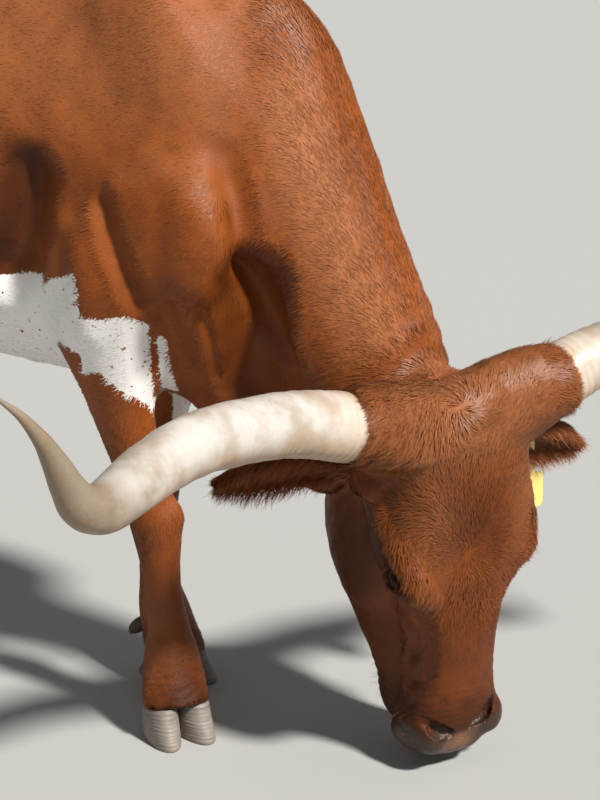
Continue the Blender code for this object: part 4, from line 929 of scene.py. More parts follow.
def dewclaw(name, foot, side, back):
    """A small blunt hoof swept down and back from the ankle."""
    x, y = foot[0] - back, foot[1]
    rows = smooth_rows([(x + ahead, y + side * out, z, r) for ahead, out, z, r in DEWCLAW_ROWS], 18)
    radius = rows[:, 3] + 0.0003 * np.sin(np.arange(18) * 1.9)
    rings = tube_points(rows[:, :3] + SHIFT, UP, radius, radius, 24)
    made = closed_tube("spur_" + name, with_foot(rings, foot))
    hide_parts(name)
    return made


hoof_finish = Finish("hoof")
bands = hoof_finish.noise(60.0, 3.0, hoof_finish.place((0.15, 0.15, 4.0)))
dust = hoof_finish.noise(40.0, 4.0)
hoof_tone = hoof_finish.mix(bands, (0.10, 0.085, 0.075), (0.34, 0.30, 0.26))
hoof_finish.relief(bands, 0.0010, 0.6)
hoof_tone = hoof_finish.mix(hoof_finish.ramp(dust, 0.4, 0.8), hoof_tone, (0.30, 0.25, 0.20))
hoof_finish.set(Base_Color=hoof_tone, Roughness=0.55)
spur_finish = Finish("dewclaw")
spur_finish.relief(spur_finish.noise(140.0, 3.0), 0.0010, 0.6)
spur_tone = spur_finish.mix(spur_finish.noise(60.0), (0.045, 0.024, 0.014), (0.11, 0.07, 0.045))
spur_finish.set(Base_Color=spur_tone, Roughness=0.6)
for word, foot in FEET.items():
    hind = "hind" in word
    for side, which in ((-1.0, "right"), (1.0, "left")):
        name = "claw_" + word + "_" + which
        made = claw(name, foot, side, 0.94 if hind else 1.06, 0.004 if hind else 0.010)
        made.data.materials.append(hoof_finish.made)
        made = dewclaw("dewclaw_" + word + "_" + which, foot, side, 0.024 if hind else 0.0)
        made.data.materials.append(spur_finish.made)
print("hooves: 8 claws and 8 dewclaws")

# %% [markdown]
# ## Eyes
# The eye of a cow is large, dark and wet, and sits deep under the brow. A ball with a raised
# cornea is enough, because the lids cover the rest of it.

# %% Eyes
def eye(name, side):
    """A ball; where it looks out it swells by a bell of the angle, as a cornea does."""
    rows, cols = 48, 64
    lat = np.linspace(0.02, math.pi - 0.02, rows)[:, None]
    lon = np.linspace(0.0, 2 * math.pi, cols, endpoint=False)[None, :]
    centre, look, one, two = eye_axes(side)
    ball = (np.cos(lat)[..., None] * look + (np.sin(lat) * np.cos(lon))[..., None] * one
            + (np.sin(lat) * np.sin(lon))[..., None] * two)
    radius = EYE_RADIUS * (1.0 + 0.05 * np.exp(-(lat / 0.55) ** 2)) * np.ones_like(lon)
    rings = centre + ball * radius[..., None]
    made = closed_tube("ball_" + name, rings[:, ::-1] if side > 0 else rings)
    angle = np.append((lat * np.ones_like(lon)).ravel(), (0.0, math.pi)) / math.pi
    write_layer(made, "Angle", angle[:, None])
    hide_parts(name)
    return made


eye_finish = Finish("eye")
turn = eye_finish.layer("Angle")[0]
iris = eye_finish.mix(eye_finish.ramp(turn, 0.10, 0.13), (0.003, 0.002, 0.002), (0.020, 0.009, 0.005))
iris = eye_finish.mix(eye_finish.ramp(turn, 0.24, 0.28), iris, (0.060, 0.036, 0.026))
eye_finish.set(Base_Color=iris, Roughness=0.05, Specular_IOR_Level=0.35)
for word, side in (("right", -1.0), ("left", 1.0)):
    made = eye("eye_" + word, side)
    made.data.materials.append(eye_finish.made)
print("eyes made")

# %% [markdown]
# ## Lids
# The lids are the finest folds of the face, finer than the skin's grid. Each eye gets a band of its
# own round the slit: it starts on the ball, turns over a rounded wet rim, rises as the lid, dips
# in one crease and then sinks under the hide. A band from the almond outward is a grid of two
# parameters, the turn round the slit and the way out from it.

# %% Bands of the lids
def skin_depth(centre, look, along, across, x, y):
    """How high the hide stands along the line of sight, from the hide's points nearest to x, y."""
    q = skin_points - centre
    near = q[np.linalg.norm(q, axis=1) < 0.075]
    sx, sy, sd = near @ along, near @ across, near @ look
    keep = (slit(sx, sy) > 1.25) & (sd > -0.03)
    sx, sy, sd = sx[keep], sy[keep], sd[keep]
    far = (x.ravel()[:, None] - sx[None]) ** 2 + (y.ravel()[:, None] - sy[None]) ** 2
    weight = np.exp(-far / 0.004 ** 2) + 1e-30
    return ((weight * sd[None]).sum(axis=1) / weight.sum(axis=1)).reshape(x.shape)


LID_ROWS = 22
LID_AROUND = 96


def lid_band(name, side):
    """The rim is the almond itself; s goes out from it. Height: the ball's, then the hide's."""
    centre, look, along, across = eye_axes(side)
    t = np.linspace(0.0, 2 * math.pi, LID_AROUND, endpoint=False)[None, :]
    s = np.linspace(0.0, 1.0, LID_ROWS)[:, None]
    rim_x = SLIT[0] * np.cos(t)
    rim_y = slit_half(np.sin(t)) * np.sin(t) * (1.0 - 0.25 * np.cos(t) ** 2)
    out = 1.0 - 0.06 * (1 - step(s, 0.0, 0.12)) + 0.0 * t
    x = rim_x * out + np.cos(t) * 0.013 * s
    y = rim_y * out + np.sin(t) * 0.016 * s
    reach = np.hypot(x, y)
    ball = np.sqrt(np.maximum((EYE_RADIUS + 0.0004) ** 2 - reach ** 2, 0.0))
    hide = skin_depth(centre, look, along, across, x, y)
    on_ball = np.maximum(ball, np.minimum(hide, ball + 0.010))
    on_hide = hide + 0.0006 - 0.003 * step(s, 0.85, 1.0)
    d = on_ball * (1 - step(s, 0.25, 0.85)) + on_hide * step(s, 0.25, 0.85)
    upper = step(-np.sin(t), -0.3, 0.6)
    d = d + 0.0030 * np.sin(math.pi * np.clip(s / 0.42, 0, 1)) * (0.7 + 0.5 * upper)
    d = d - 0.0016 * bump(s, 0.52, 0.07) * (0.4 + 0.8 * upper) - 0.0008 * bump(s, 0.74, 0.06)
    points = centre + x[..., None] * along + y[..., None] * across + d[..., None] * look
    made = object_of(name, points.reshape(-1, 3), grid_faces(LID_ROWS, LID_AROUND, True))
    if side > 0:
        made.data.flip_normals()
    flat = points.reshape(-1, 3)
    n = len(flat)
    wet = np.broadcast_to(1 - step(s, 0.08, 0.22), x.shape).ravel()
    write_layer(made, "Marks", np.stack([np.zeros(n), 0.55 + 0.35 * wet, np.zeros(n), np.zeros(n)], axis=1))
    write_layer(made, "Strand", np.stack([np.zeros(n), np.full(n, 0.5), 0.75 * wet], axis=1))
    made.data.materials.append(skin_finish.made)
    return made


for word, side in (("right", -1.0), ("left", 1.0)):
    made = lid_band("lids_" + word, side)
    print(made.name, len(made.data.polygons), "faces")

# %% [markdown]
# ## Ears
# An ear is a cupped leaf of gristle: thick and solid at its root, thin at its edge, open to the
# side and front. It is a grid of its own, closed round both faces, with its root sunk in the head.

# %% Leaves of the ears
EAR_WIDTH = 0.125
EAR_CURL = 1.45
EARS = {"ear_right": (-1.0, (0.092, 0.140, -0.130), (0.066, 0.380, -0.182)),
        "ear_left": (1.0, (0.130, 0.140, -0.128), (0.210, 0.350, -0.178))}


def ear_point(name, u, turn, depth):
    """A point of an ear: u from root to tip, turn from edge to edge, depth from back to hollow.
    The width grows and closes as u^0.8 (1 - u)^0.62, and the cup is a cosine across it."""
    side, start, end = EARS[name]
    root = np.array((start[0], side * start[1], start[2]))
    tip = np.array((end[0], side * end[1], end[2]))
    along = unit(tip - root)
    front = np.array((0.60, 0.0, 0.80))
    front = unit(front - along * (front @ along))
    across = np.cross(along, front)
    u, turn, depth = np.broadcast_arrays(u, turn, depth)
    wide = EAR_WIDTH * (0.24 + 0.78 * u ** 0.8 * (1.0 - u) ** 0.62 + 0.12 * np.sin(math.pi * u))
    wide = wide * np.sqrt(np.clip(1.0 - (np.maximum(u - 0.62, 0.0) / 0.38) ** 2.6, 0.0004, 1.0))
    hollow = wide * (0.46 - 0.20 * u)
    thick = (0.0045 + 0.020 * np.maximum(1.0 - u / 0.28, 0.0) ** 1.5) * (1.0 - 0.70 * np.abs(turn) ** 3)
    y = wide / 2 * np.sin(turn * EAR_CURL) / math.sin(EAR_CURL) * (1.0 - 0.06 * depth)
    cup = hollow * (np.cos(turn * EAR_CURL) - math.cos(EAR_CURL))
    middle = root + (tip - root) * u[..., None] - front * 0.012 * np.sin(math.pi * u)[..., None]
    return from_head(middle + y[..., None] * across - (cup - thick * depth)[..., None] * front)


EAR_ROWS = 70
EAR_ACROSS = 40


def ear(name):
    """A closed skin round both faces of the leaf."""
    turns = np.linspace(-1.0, 1.0, EAR_ACROSS)
    u = np.linspace(0.0, 1.0, EAR_ROWS)[:, None]
    back = ear_point(name, u, turns[None, :], 0.0)
    hollow = ear_point(name, u, turns[None, ::-1], 1.0)
    rings = np.concatenate([back, hollow], axis=1)
    made = closed_tube("leaf_" + name, rings)
    made.data.flip_normals()
    return made


ear_low = {}
for name in EARS:
    one, other = (float(ear_point(name, 0.5, edge, 0.5)[2]) for edge in (1.0, -1.0))
    ear_low[name] = 1.0 if one < other else -1.0
    made = ear(name)
    count = len(made.data.vertices)
    cup = np.append(np.tile(np.repeat((0.0, 1.0), EAR_ACROSS), EAR_ROWS), (0.0, 0.0))
    # The ears are darker than the coat, and their hollow face darker again as painted shade.
    shade = 0.45 + 0.45 * cup
    write_layer(made, "Marks", np.stack([0 * shade, shade, 0 * shade, 0 * shade], axis=1))
    write_layer(made, "Strand", np.tile((0.2, 0.4), (count, 1)))
    made.data.materials.append(skin_finish.made)
    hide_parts(name)
    print(name, len(made.data.polygons), "faces")

# %% [markdown]
# ## The tag
# A blank plastic tag hangs in the left ear on a pin with a round button behind. It is cut from
# sheet, so the plate is one rounded outline carried through its thickness, with a narrow neck.

# %% Tag
TAG_TOP = -0.066
TAG_LOW = -0.134
TAG_HALF = 0.028
TAG_CORNER = 0.008
TAG_NECK_HALF = 0.007
TAG_THICK = 0.0024
TAG_AT = (0.60, 0.45)


def plate_outline(count):
    """Half width at each height of the tag, from the neck's top down to the round lower edge."""
    z = np.linspace(0.008, TAG_LOW, count)
    near_top = np.clip((TAG_TOP - z) / TAG_CORNER, 0, 1)
    near_low = np.clip((z - TAG_LOW) / TAG_CORNER, 0, 1)
    round_top, round_low = (TAG_HALF - TAG_CORNER + TAG_CORNER * np.sqrt(1 - (1 - near) ** 2)
                            for near in (near_top, near_low))
    plate = np.where(z < TAG_TOP, np.minimum(round_top, round_low), TAG_NECK_HALF)
    blend = step(z, TAG_TOP - 0.001, TAG_TOP + 0.004)
    return z, plate * (1 - blend) + TAG_NECK_HALF * blend


def disc(name, spot, axis, start, end, radius, around):
    """A round piece along the pin, closed at both ends."""
    path = np.linspace(start, end, len(radius))[:, None] * axis + spot
    return closed_tube(name, tube_points(path, UP, radius, radius, around))


def tag(name):
    """The plate as a flat grid, given a thickness and a soft edge, with its pin, button and cap."""
    z, half = plate_outline(90)
    y = np.linspace(-1.0, 1.0, 24)[None, :] * half[:, None]
    bow = 0.0012 * (1 - (y / TAG_HALF) ** 2)
    along, across = TAG_AT
    spot = ear_point("ear_left", along, across * ear_low["ear_left"], 0.5)
    axis = unit(ear_point("ear_left", along, across * ear_low["ear_left"], 1.0) - spot)
    sheet = (spot + axis * 0.0075 + y[..., None] * WIDE - FALL * z[:, None, None] + bow[..., None] * OUT)
    made = object_of("plate_" + name, sheet.reshape(-1, 3), grid_faces(90, 24, False))
    thick = made.modifiers.new("thick", "SOLIDIFY")
    thick.thickness = TAG_THICK
    thick.offset = 0.0
    soft = made.modifiers.new("soft", "BEVEL")
    soft.width = 0.0006
    soft.segments = 2
    settle(made)
    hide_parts(name)
    dome = 0.0130 * np.sqrt(np.clip(1 - (np.linspace(-1, 0.2, 12) ** 2) * 0.9, 0, 1))
    return [made, disc("tag_pin", spot, axis, -0.0100, 0.0095, np.full(14, 0.0035), 20),
            disc("tag_button", spot, axis, -0.0112, -0.0080, dome, 32),
            disc("tag_cap", spot, axis, 0.0080, 0.0112, dome[::-1] * 0.62, 32)]


tag_finish = Finish("tag")
scuff = tag_finish.noise(90.0, 4.0)
tag_finish.relief(scuff, 0.0003, 0.4)
tag_tone = tag_finish.mix(tag_finish.ramp(scuff, 0.4, 0.75), (0.86, 0.70, 0.20), (0.78, 0.62, 0.24))
tag_finish.set(Base_Color=tag_tone, Roughness=0.42)
for made in tag("ear_tag"):
    made.data.materials.append(tag_finish.made)
print("tag made")

# %% [markdown]
# ## The lie of the coat
# Hair is not scattered: it runs from the head up the neck, back along the ribs, down the legs, and
# spreads from a whorl in the middle of the face. We give each point of the hide a heading, lay it
# flat on the surface, and average it with its neighbours so that the streams part and meet softly.

# %% Headings over the skin
def raw_flow(points):
    """The heading of the hair by region, before it is laid on the surface."""
    part = regions(points)
    a, w, h, x, y, z = (part[k] for k in "awhxyz")
    side = np.sign(y + 1e-9)
    fall = -0.28 - 0.5 * step(x, -0.2, 0.25) - 0.4 * step(-x, 0.9, 1.2)
    trunk = np.stack([-np.ones_like(x), 0.10 * side, fall], axis=1)
    climb = 0.55 - 0.9 * step(x + 0.45 * (z - 1.0), 0.32, 0.20)
    neck = np.stack([-0.62 * np.ones_like(x), 0.0 * x, climb], axis=1)
    legs = np.stack([-0.15 * np.ones_like(x), 0.0 * x, -np.ones_like(x)], axis=1)
    tail = np.stack([0.0 * x, 0.0 * x, -np.ones_like(x)], axis=1)
    spread = np.stack([a - 0.235, w + 0.02, -0.35 * np.maximum(np.abs(w) - 0.06, 0)], axis=1)
    poll = np.stack([a + 0.02, w + 0.02, 0.0 * a], axis=1)
    swirl = np.stack([-poll[:, 1], poll[:, 0], 0.0 * a], axis=1)
    near = bump(a, -0.02, 0.07)[:, None]
    head = unit(spread) * (1 - near) + (unit(poll) * 0.6 + unit(swirl) * 0.8) * near
    head = head + np.stack([0.8 * step(a, 0.30, 0.42), 0.0 * a, -0.5 * step(-h, 0.12, 0.25)], axis=1)
    cheek = step(-h, 0.14, 0.24)[:, None]
    head = head * (1 - cheek) + np.stack([-0.55 + 0.0 * a, 0.0 * a, -0.8 + 0.0 * a], axis=1) * cheek
    ends = np.sign(w)
    brow = (bump(a, 0.21, 0.075) * bump(np.abs(w), 0.125, 0.032) * step(h, -0.13, -0.09))[:, None]
    over_brow = np.stack([0.186 + 0 * a, -0.040 * ends, 0.050 + 0 * a], axis=1)
    head = unit(head) * (1 - brow) + unit(over_brow) * brow
    stub = (step(np.abs(w), 0.11, 0.16) * (1 - step(a - 0.14 * np.maximum(w, 0), 0.06, 0.11)))[:, None]
    head = unit(head) * (1 - stub) + np.stack([0.25 + 0 * a, ends, 0.1 + 0 * a], axis=1) * stub
    head = unit(head) @ HEAD_AXES
    share = part["head"][:, None]
    flow = trunk * (1 - part["neck"][:, None]) + neck * part["neck"][:, None]
    flow = flow * (1 - part["leg"][:, None]) + legs * part["leg"][:, None]
    flow = flow * (1 - part["tail"][:, None]) + tail * part["tail"][:, None]
    return unit(flow) * (1 - share) + head * share


def flatten(vectors, normals):
    """Vectors laid on the surface and made one long."""
    return unit(vectors - normals * (vectors * normals).sum(axis=1, keepdims=True))


edges = np.empty(len(skin.data.edges) * 2, dtype=np.int64)
skin.data.edges.foreach_get("vertices", edges)
edges = edges.reshape(-1, 2)
flow = flatten(raw_flow(skin_points), skin_normals)
for _ in range(6):
    total = np.stack([np.bincount(edges[:, 0], flow[edges[:, 1], k], len(flow))
                      + np.bincount(edges[:, 1], flow[edges[:, 0], k], len(flow)) for k in range(3)], axis=1)
    flow = flatten(flow + total, skin_normals)
print("headings:", flow.shape)

# %% [markdown]
# ## Tufts
# Particle hair would be lost when the model is saved, so the coat is real mesh: about four hundred
# thousand flat, pointed tufts, each of three triangles, rooted just under the skin. A root is
# drawn at random over the surface, so many for each square metre by region. The tuft leaves along
# the heading, lifted a little, and bends back toward the body. Short, flat coat lies almost
# down. The poll, the forehead, the brows and the ankles stand up more, and the hair of the crest
# and the throat is longer.

# %% Root places
def triangles_of(thing):
    """Corner numbers and areas of a mesh's triangles."""
    thing.data.calc_loop_triangles()
    tris = np.empty(len(thing.data.loop_triangles) * 3, dtype=np.int64)
    thing.data.loop_triangles.foreach_get("vertices", tris)
    tris = tris.reshape(-1, 3)
    p = read_points(thing)
    area = np.linalg.norm(np.cross(p[tris[:, 1]] - p[tris[:, 0]], p[tris[:, 2]] - p[tris[:, 0]]), axis=1) / 2
    return tris, area


def coat_plan(points, normals):
    """Tufts per square metre, length, width and lift by region."""
    part = regions(points)
    a, w, h, x, z = (part[k] for k in "awhxz")
    up = normals[:, 2]
    head, neck, leg, tail = part["head"], part["neck"], part["leg"], part["tail"]
    poll = head * (1 - step(a, 0.02, 0.12)) * step(h, -0.20, -0.10)
    brow = head * bump(a, 0.215, 0.07) * bump(np.abs(w), 0.128, 0.026) * step(h, -0.11, -0.07)
    forehead = head * step(a, 0.04, 0.10) * (1 - step(a, 0.33, 0.42)) * step(h, -0.09, -0.05)
    muzzle = head * step(a, 0.42, 0.56)
    bare = bare_nose(points, part)
    fetlock = leg * (1 - step(z, 0.09, 0.15))
    crest = neck * step(up, 0.35, 0.75)
    throat = (neck + head * step(-h, 0.20, 0.30)) * step(-up, 0.1, 0.6)
    length = 0.0145 * np.ones_like(x)
    length = length * (1 - neck) + 0.0165 * neck
    length = length * (1 - leg) + (0.0075 + 0.006 * step(z, 0.1, 0.5)) * leg
    length = length * (1 - tail) + 0.020 * tail
    length = length * (1 - head) + 0.0120 * head
    length += (0.016 * poll + (0.014 - 0.006 * step(w, 0, 0.05)) * brow + 0.006 * forehead - 0.006 * muzzle
               + 0.010 * crest + 0.012 * np.clip(throat, 0, 1))
    length += 0.010 * fetlock
    lift = (0.13 + 0.04 * neck + 0.16 * poll + 0.13 * brow + 0.11 * forehead + 0.04 * leg + 0.02 * crest
            + 0.14 * fetlock)
    density = 46000 * np.ones_like(x)
    density = density * (1 - neck) + 95000 * neck
    density = density * (1 - leg) + 90000 * leg
    density = density * (1 - tail) + 110000 * tail
    density = density * (1 - head) + 230000 * head + 60000 * fetlock
    width = 0.00115 + 0.028 * length * (1 - 0.5 * head)
    return density * (1 - bare), length, width, lift


tris, area = triangles_of(skin)
density, length, width, lift = coat_plan(skin_points, skin_normals)
density = density * (1 - step(skin_pits, 0.2, 0.6))
weight = area * density[tris].mean(axis=1)
TUFTS = int(weight.sum())
chosen = np.searchsorted(np.cumsum(weight), chance.random(TUFTS) * weight.sum())
chosen = np.minimum(chosen, len(tris) - 1)
r1, r2 = np.sqrt(chance.random(TUFTS)), chance.random(TUFTS)
share = np.stack([1 - r1, r1 * (1 - r2), r1 * r2], axis=1)


def at_roots(values):
    """A value of the skin's points carried to the roots."""
    picked = values[tris[chosen]]
    return (picked * (share[..., None] if values.ndim > 1 else share)).sum(axis=1)


root = at_roots(skin_points)
root_normal = unit(at_roots(skin_normals))
root_flow = flatten(at_roots(flow), root_normal)
print("tufts:", TUFTS)


# %% Blades from the roots
def blades(root, normal, heading, length, width, lift, seed):
    """Five points a tuft: two at the root, two half way and the tip. The first half leaves at the
    lift's angle, the second lies down again; each leans a little to its own side."""
    own = np.random.default_rng(seed)
    n = len(root)
    clump = ripple(root, 0.022, seed + 1) * 0.35 + own.normal(0, 0.16, n)
    side = np.cross(normal, heading)
    go = unit(heading + side * clump[:, None])
    across = unit(np.cross(normal, go))
    length = length * own.uniform(0.75, 1.2, n)
    rise = lift * own.uniform(0.5, 1.6, n)
    first = unit(go + normal * rise[:, None])
    second = unit(go + normal * (rise * 0.1 - 0.05)[:, None] + across * own.normal(0, 0.12, n)[:, None])
    start = root - normal * 0.0008
    half = (width / 2)[:, None] * across
    middle = start + first * (length * 0.5)[:, None]
    tip = middle + second * (length * 0.5)[:, None]
    return np.stack([start - half, start + half, middle - half * 0.8, middle + half * 0.8, tip], axis=1)


def region_map(part):
    """Where each root lies on an unwrap of the hide: a tile for each region, across by its angle
    round the region's axis, and up by the way along that axis."""
    x, y, z, a, w, h = (part[k] for k in "xyzawh")
    turn = np.arctan2(y, z - 0.98) / (2 * math.pi) + 0.5
    u, v = 0.02 + 0.46 * turn, 0.02 + 0.46 * np.clip((x + 1.47) / 2.0, 0, 1)
    head = part["head"] > 0.5
    turn_h = np.arctan2(w, h + 0.17) / (2 * math.pi) + 0.5
    u = np.where(head, 0.52 + 0.46 * turn_h, u)
    v = np.where(head, 0.02 + 0.46 * np.clip((a + 0.10) / 0.78, 0, 1), v)
    for k, (word, (fx, fy)) in enumerate(FEET.items()):
        own = (part["leg"] > 0.5) & (np.sign(y) == np.sign(fy)) & ((x < -0.7) == ("hind" in word))
        turn_l = np.arctan2(y - fy, x - fx + 0.03) / (2 * math.pi) + 0.5
        u = np.where(own, 0.02 + 0.245 * k + 0.22 * turn_l, u)
        v = np.where(own, 0.52 + 0.46 * np.clip(z / 0.8, 0, 1), v)
    own = part["tail"] > 0.5
    u = np.where(own, 0.985 + 0.008 * np.sign(y), u)
    v = np.where(own, 0.52 + 0.46 * np.clip((z - 0.6) / 0.75, 0, 1), v)
    return np.stack([u, v], axis=1)


PATCH_SIZE = 0.003
PATCH = PATCH_SIZE * np.array(((-0.5, -0.5), (0.5, -0.5), (-0.45, 0.1), (0.45, 0.1), (0.0, 0.5)))


def coat_piece(name, points, uv, mark, tone, material):
    """One object from the blades of many tufts."""
    n = len(points)
    first = np.arange(n)[:, None] * 5
    quads = first + np.array((0, 1, 3, 2))
    tips = first + np.array((2, 3, 4))
    made = object_of(name, points.reshape(-1, 3), quads, tips)
    write_map(made, "OFBake", (uv[:, None] + PATCH).reshape(-1, 2))
    write_layer(made, "Marks", np.repeat(mark, 5, axis=0))
    strand = np.stack([np.tile((0.0, 0.0, 0.5, 0.5, 1.0), n), np.repeat(tone, 5), np.zeros(n * 5)], axis=1)
    write_layer(made, "Strand", strand)
    made.data.materials.append(material)
    return made


tuft_points = blades(root, root_normal, root_flow, at_roots(length), at_roots(width), at_roots(lift), 7)
tuft_marks = marks(root, root_normal)
tuft_tone = np.clip(0.5 + 0.12 * ripple(root, 0.03, 21) + chance.normal(0, 0.22, TUFTS), 0, 1)
tuft_uv = region_map(regions(root))
PER_PIECE = 62000
order = chance.permutation(TUFTS)
for k in range(0, TUFTS, PER_PIECE):
    some = order[k:k + PER_PIECE]
    made = coat_piece("coat_%d" % (k // PER_PIECE + 1), tuft_points[some], tuft_uv[some], tuft_marks[some],
                      tuft_tone[some], hair_finish.made)
    print(made.name, len(some), "tufts")

# %% [markdown]
# ## The tail's switch
# The tail ends in a long brush of hair that hangs past the hocks. Each strand is a narrow ribbon
# that leaves the tail's core outward and falls straight.

# %% Switch
def ribbons(roots, aims, falls, lengths, widths, rows, seed):
    """Ribbons of hair: the heading turns from the aim to the fall with u, and the width tapers as
    (1 - u)^0.7, with a slow wave to either side."""
    own = np.random.default_rng(seed)
    n = len(roots)
    u = np.linspace(0.0, 1.0, rows)
    heading = unit(aims[:, None] * (1 - u)[None, :, None] ** 1.5 + falls[:, None] * u[None, :, None] ** 0.6)
    path = roots[:, None] + np.cumsum(heading, axis=1) * (lengths / rows)[:, None, None]
    turn = own.uniform(0, math.pi, n)
    side = unit(np.cross(heading, np.stack([np.cos(turn), np.sin(turn), 0.2 * np.ones(n)], axis=1)[:, None]))
    sway = np.sin(u[None] * own.uniform(3, 8, (n, 1)) + own.uniform(0, 6.28, (n, 1))) * u[None] * 0.004
    path = path + side * sway[..., None]
    half = (widths[:, None] / 2 * (1 - 0.85 * u[None] ** 1.5))[..., None] * side
    return np.stack([path - half, path + half], axis=2), u


def ribbon_object(name, grid, marks_of, tone, uv, material):
    """One object from many ribbons, two points to a row."""
    n, rows = grid.shape[:2]
    faces = grid_faces(rows, 2, False)
    every = (np.arange(n)[:, None, None] * rows * 2 + faces[None]).reshape(-1, 4)
    made = object_of(name, grid.reshape(-1, 3), every)
    across = np.tile(np.array((-0.5, 0.5)), n * rows)
    up = np.tile(np.repeat(np.linspace(-0.5, 0.5, rows), 2), n)
    patch = PATCH_SIZE * np.stack([across, up], axis=1)
    write_map(made, "OFBake", np.repeat(uv, rows * 2, axis=0) + patch)
    write_layer(made, "Marks", np.repeat(marks_of, rows * 2, axis=0))
    along = np.tile(np.repeat(np.linspace(0, 1, rows), 2), n)
    write_layer(made, "Strand", np.stack([along, np.repeat(tone, rows * 2), 0 * along], axis=1))
    made.data.materials.append(material)
    return made


STRANDS = 1500
SWITCH_TOP = 0.706
SWITCH_CORE = 0.16
turn = chance.uniform(0, 2 * math.pi, STRANDS)
height = SWITCH_TOP - SWITCH_CORE * chance.random(STRANDS)
out = np.stack([np.cos(turn), np.sin(turn), 0 * turn], axis=1)
centre = np.stack([-1.4905 + 0 * turn, 0.0135 + 0 * turn, height], axis=1) + SHIFT
switch_grid, _ = ribbons(centre + out * 0.012, out * 0.35 - UP, -UP - out * 0.02,
                         0.10 + 0.22 * chance.random(STRANDS), chance.uniform(0.0012, 0.0024, STRANDS), 9, 51)
switch_uv = np.stack([turn / 6.6 + 0.02, (height - 0.54) / 0.18 * 0.9 + 0.04], axis=1)
switch = ribbon_object("switch_hair", switch_grid, np.tile((0.0, 0.30, 0.0, 0.15), (STRANDS, 1)),
                       chance.random(STRANDS), switch_uv, hair_finish.made)
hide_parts("tail_switch")
print("switch strands:", STRANDS)

# %% [markdown]
# ## Hair of the ears
# The ears are the shaggiest part of the head: short dense hair over the back, long soft hair out of
# the cup, and a fringe that hangs from the edges. The leaf is known as a formula, so its roots,
# its normals and the way toward the tip all come from small steps in that formula.

# %% Fur and fringe of the ears
def ear_roots(name, u, turn, face):
    """Places on a face of an ear, its outward normal, the way to the tip and the way to the edge."""
    here = ear_point(name, u, turn, face)
    ahead = ear_point(name, np.minimum(u + 0.01, 1.0), turn, face)
    to_tip = unit(ahead - ear_point(name, u - 0.01, turn, face))
    to_edge = unit(ear_point(name, u, turn + 0.02, face) - ear_point(name, u, turn - 0.02, face))
    normal = unit(np.cross(to_tip, to_edge))
    outward = ear_point(name, u, turn, 1.0) - ear_point(name, u, turn, 0.0)
    outward = outward * (2.0 * np.asarray(face) - 1.0)[..., None]
    normal = normal * np.sign((normal * outward).sum(axis=-1))[..., None]
    return here, normal, to_tip, to_edge


EAR_FUR = 15000
EAR_FRINGE = 2600
for name, (side, _, _) in EARS.items():
    own = np.random.default_rng(61 if side > 0 else 62)
    u = 0.02 + 0.96 * own.random(EAR_FUR) ** 0.9
    turn = own.uniform(-1.0, 1.0, EAR_FUR)
    face = (own.random(EAR_FUR) < 0.42).astype(float)
    here, normal, to_tip, to_edge = ear_roots(name, u, turn, face)
    go = unit(to_tip + to_edge * (0.55 * turn * (0.4 + face))[:, None] - UP * 0.25)
    heading = flatten(go, normal)
    long_hair = 0.014 + 0.010 * own.random(EAR_FUR) + 0.012 * face * own.random(EAR_FUR)
    fur = blades(here, normal, heading, long_hair, 0.0011 + 0.02 * long_hair, 0.30 + 0.25 * face, 63)
    # Hair in the cup darkens toward its middle as painted shade, and hair toward the edges is paler.
    mark = np.stack([0 * u, 0.12 + 0.45 * face * (1 - np.abs(turn)), 0 * u, 0.35 * np.abs(turn)], axis=1)
    place = np.stack([0.04 + 0.44 * (turn + 1) / 2 + 0.48 * face, 0.03 + 0.94 * u], axis=1)
    coat_piece("coat_" + name, fur, place, mark, own.random(EAR_FUR), hair_finish.made)
    u = 0.06 + 0.90 * own.random(EAR_FRINGE)
    edge = np.where(own.random(EAR_FRINGE) < 0.62, 1.0, -1.0) * ear_low[name]
    turn = edge * own.uniform(0.80, 1.0, EAR_FRINGE)
    here, normal, to_tip, to_edge = ear_roots(name, u, turn, np.ones(EAR_FRINGE))
    aim = unit(0.8 * to_edge * np.sign(turn)[:, None] + to_tip + 0.25 * normal
               + own.normal(0, 0.15, (EAR_FRINGE, 3)))
    fall = unit(aim - UP * 0.4 + own.normal(0, 0.12, (EAR_FRINGE, 3)))
    long_hair = own.uniform(0.010, 0.038, EAR_FRINGE) * (1.0 + 0.7 * bump(u, 0.54, 0.26))
    strands, _ = ribbons(here, aim, fall, long_hair, own.uniform(0.0008, 0.0016, EAR_FRINGE), 6, 64)
    place = np.stack([0.04 + 0.92 * (turn + 1) / 2, 0.03 + 0.94 * u], axis=1)
    ribbon_object("fringe_" + name, strands, np.tile((0.0, 0.05, 0.0, 0.5), (EAR_FRINGE, 1)),
                  own.random(EAR_FRINGE), place, hair_finish.made)
    print(name, "fur", EAR_FUR, "fringe", EAR_FRINGE)

# %% [markdown]
# ## Lashes and whiskers
# A cow's upper lid carries a thick row of long lashes that stand out and droop over the eye, and
# the lips and nostrils carry sparse stiff whiskers. Both are the same ribbons, only finer.

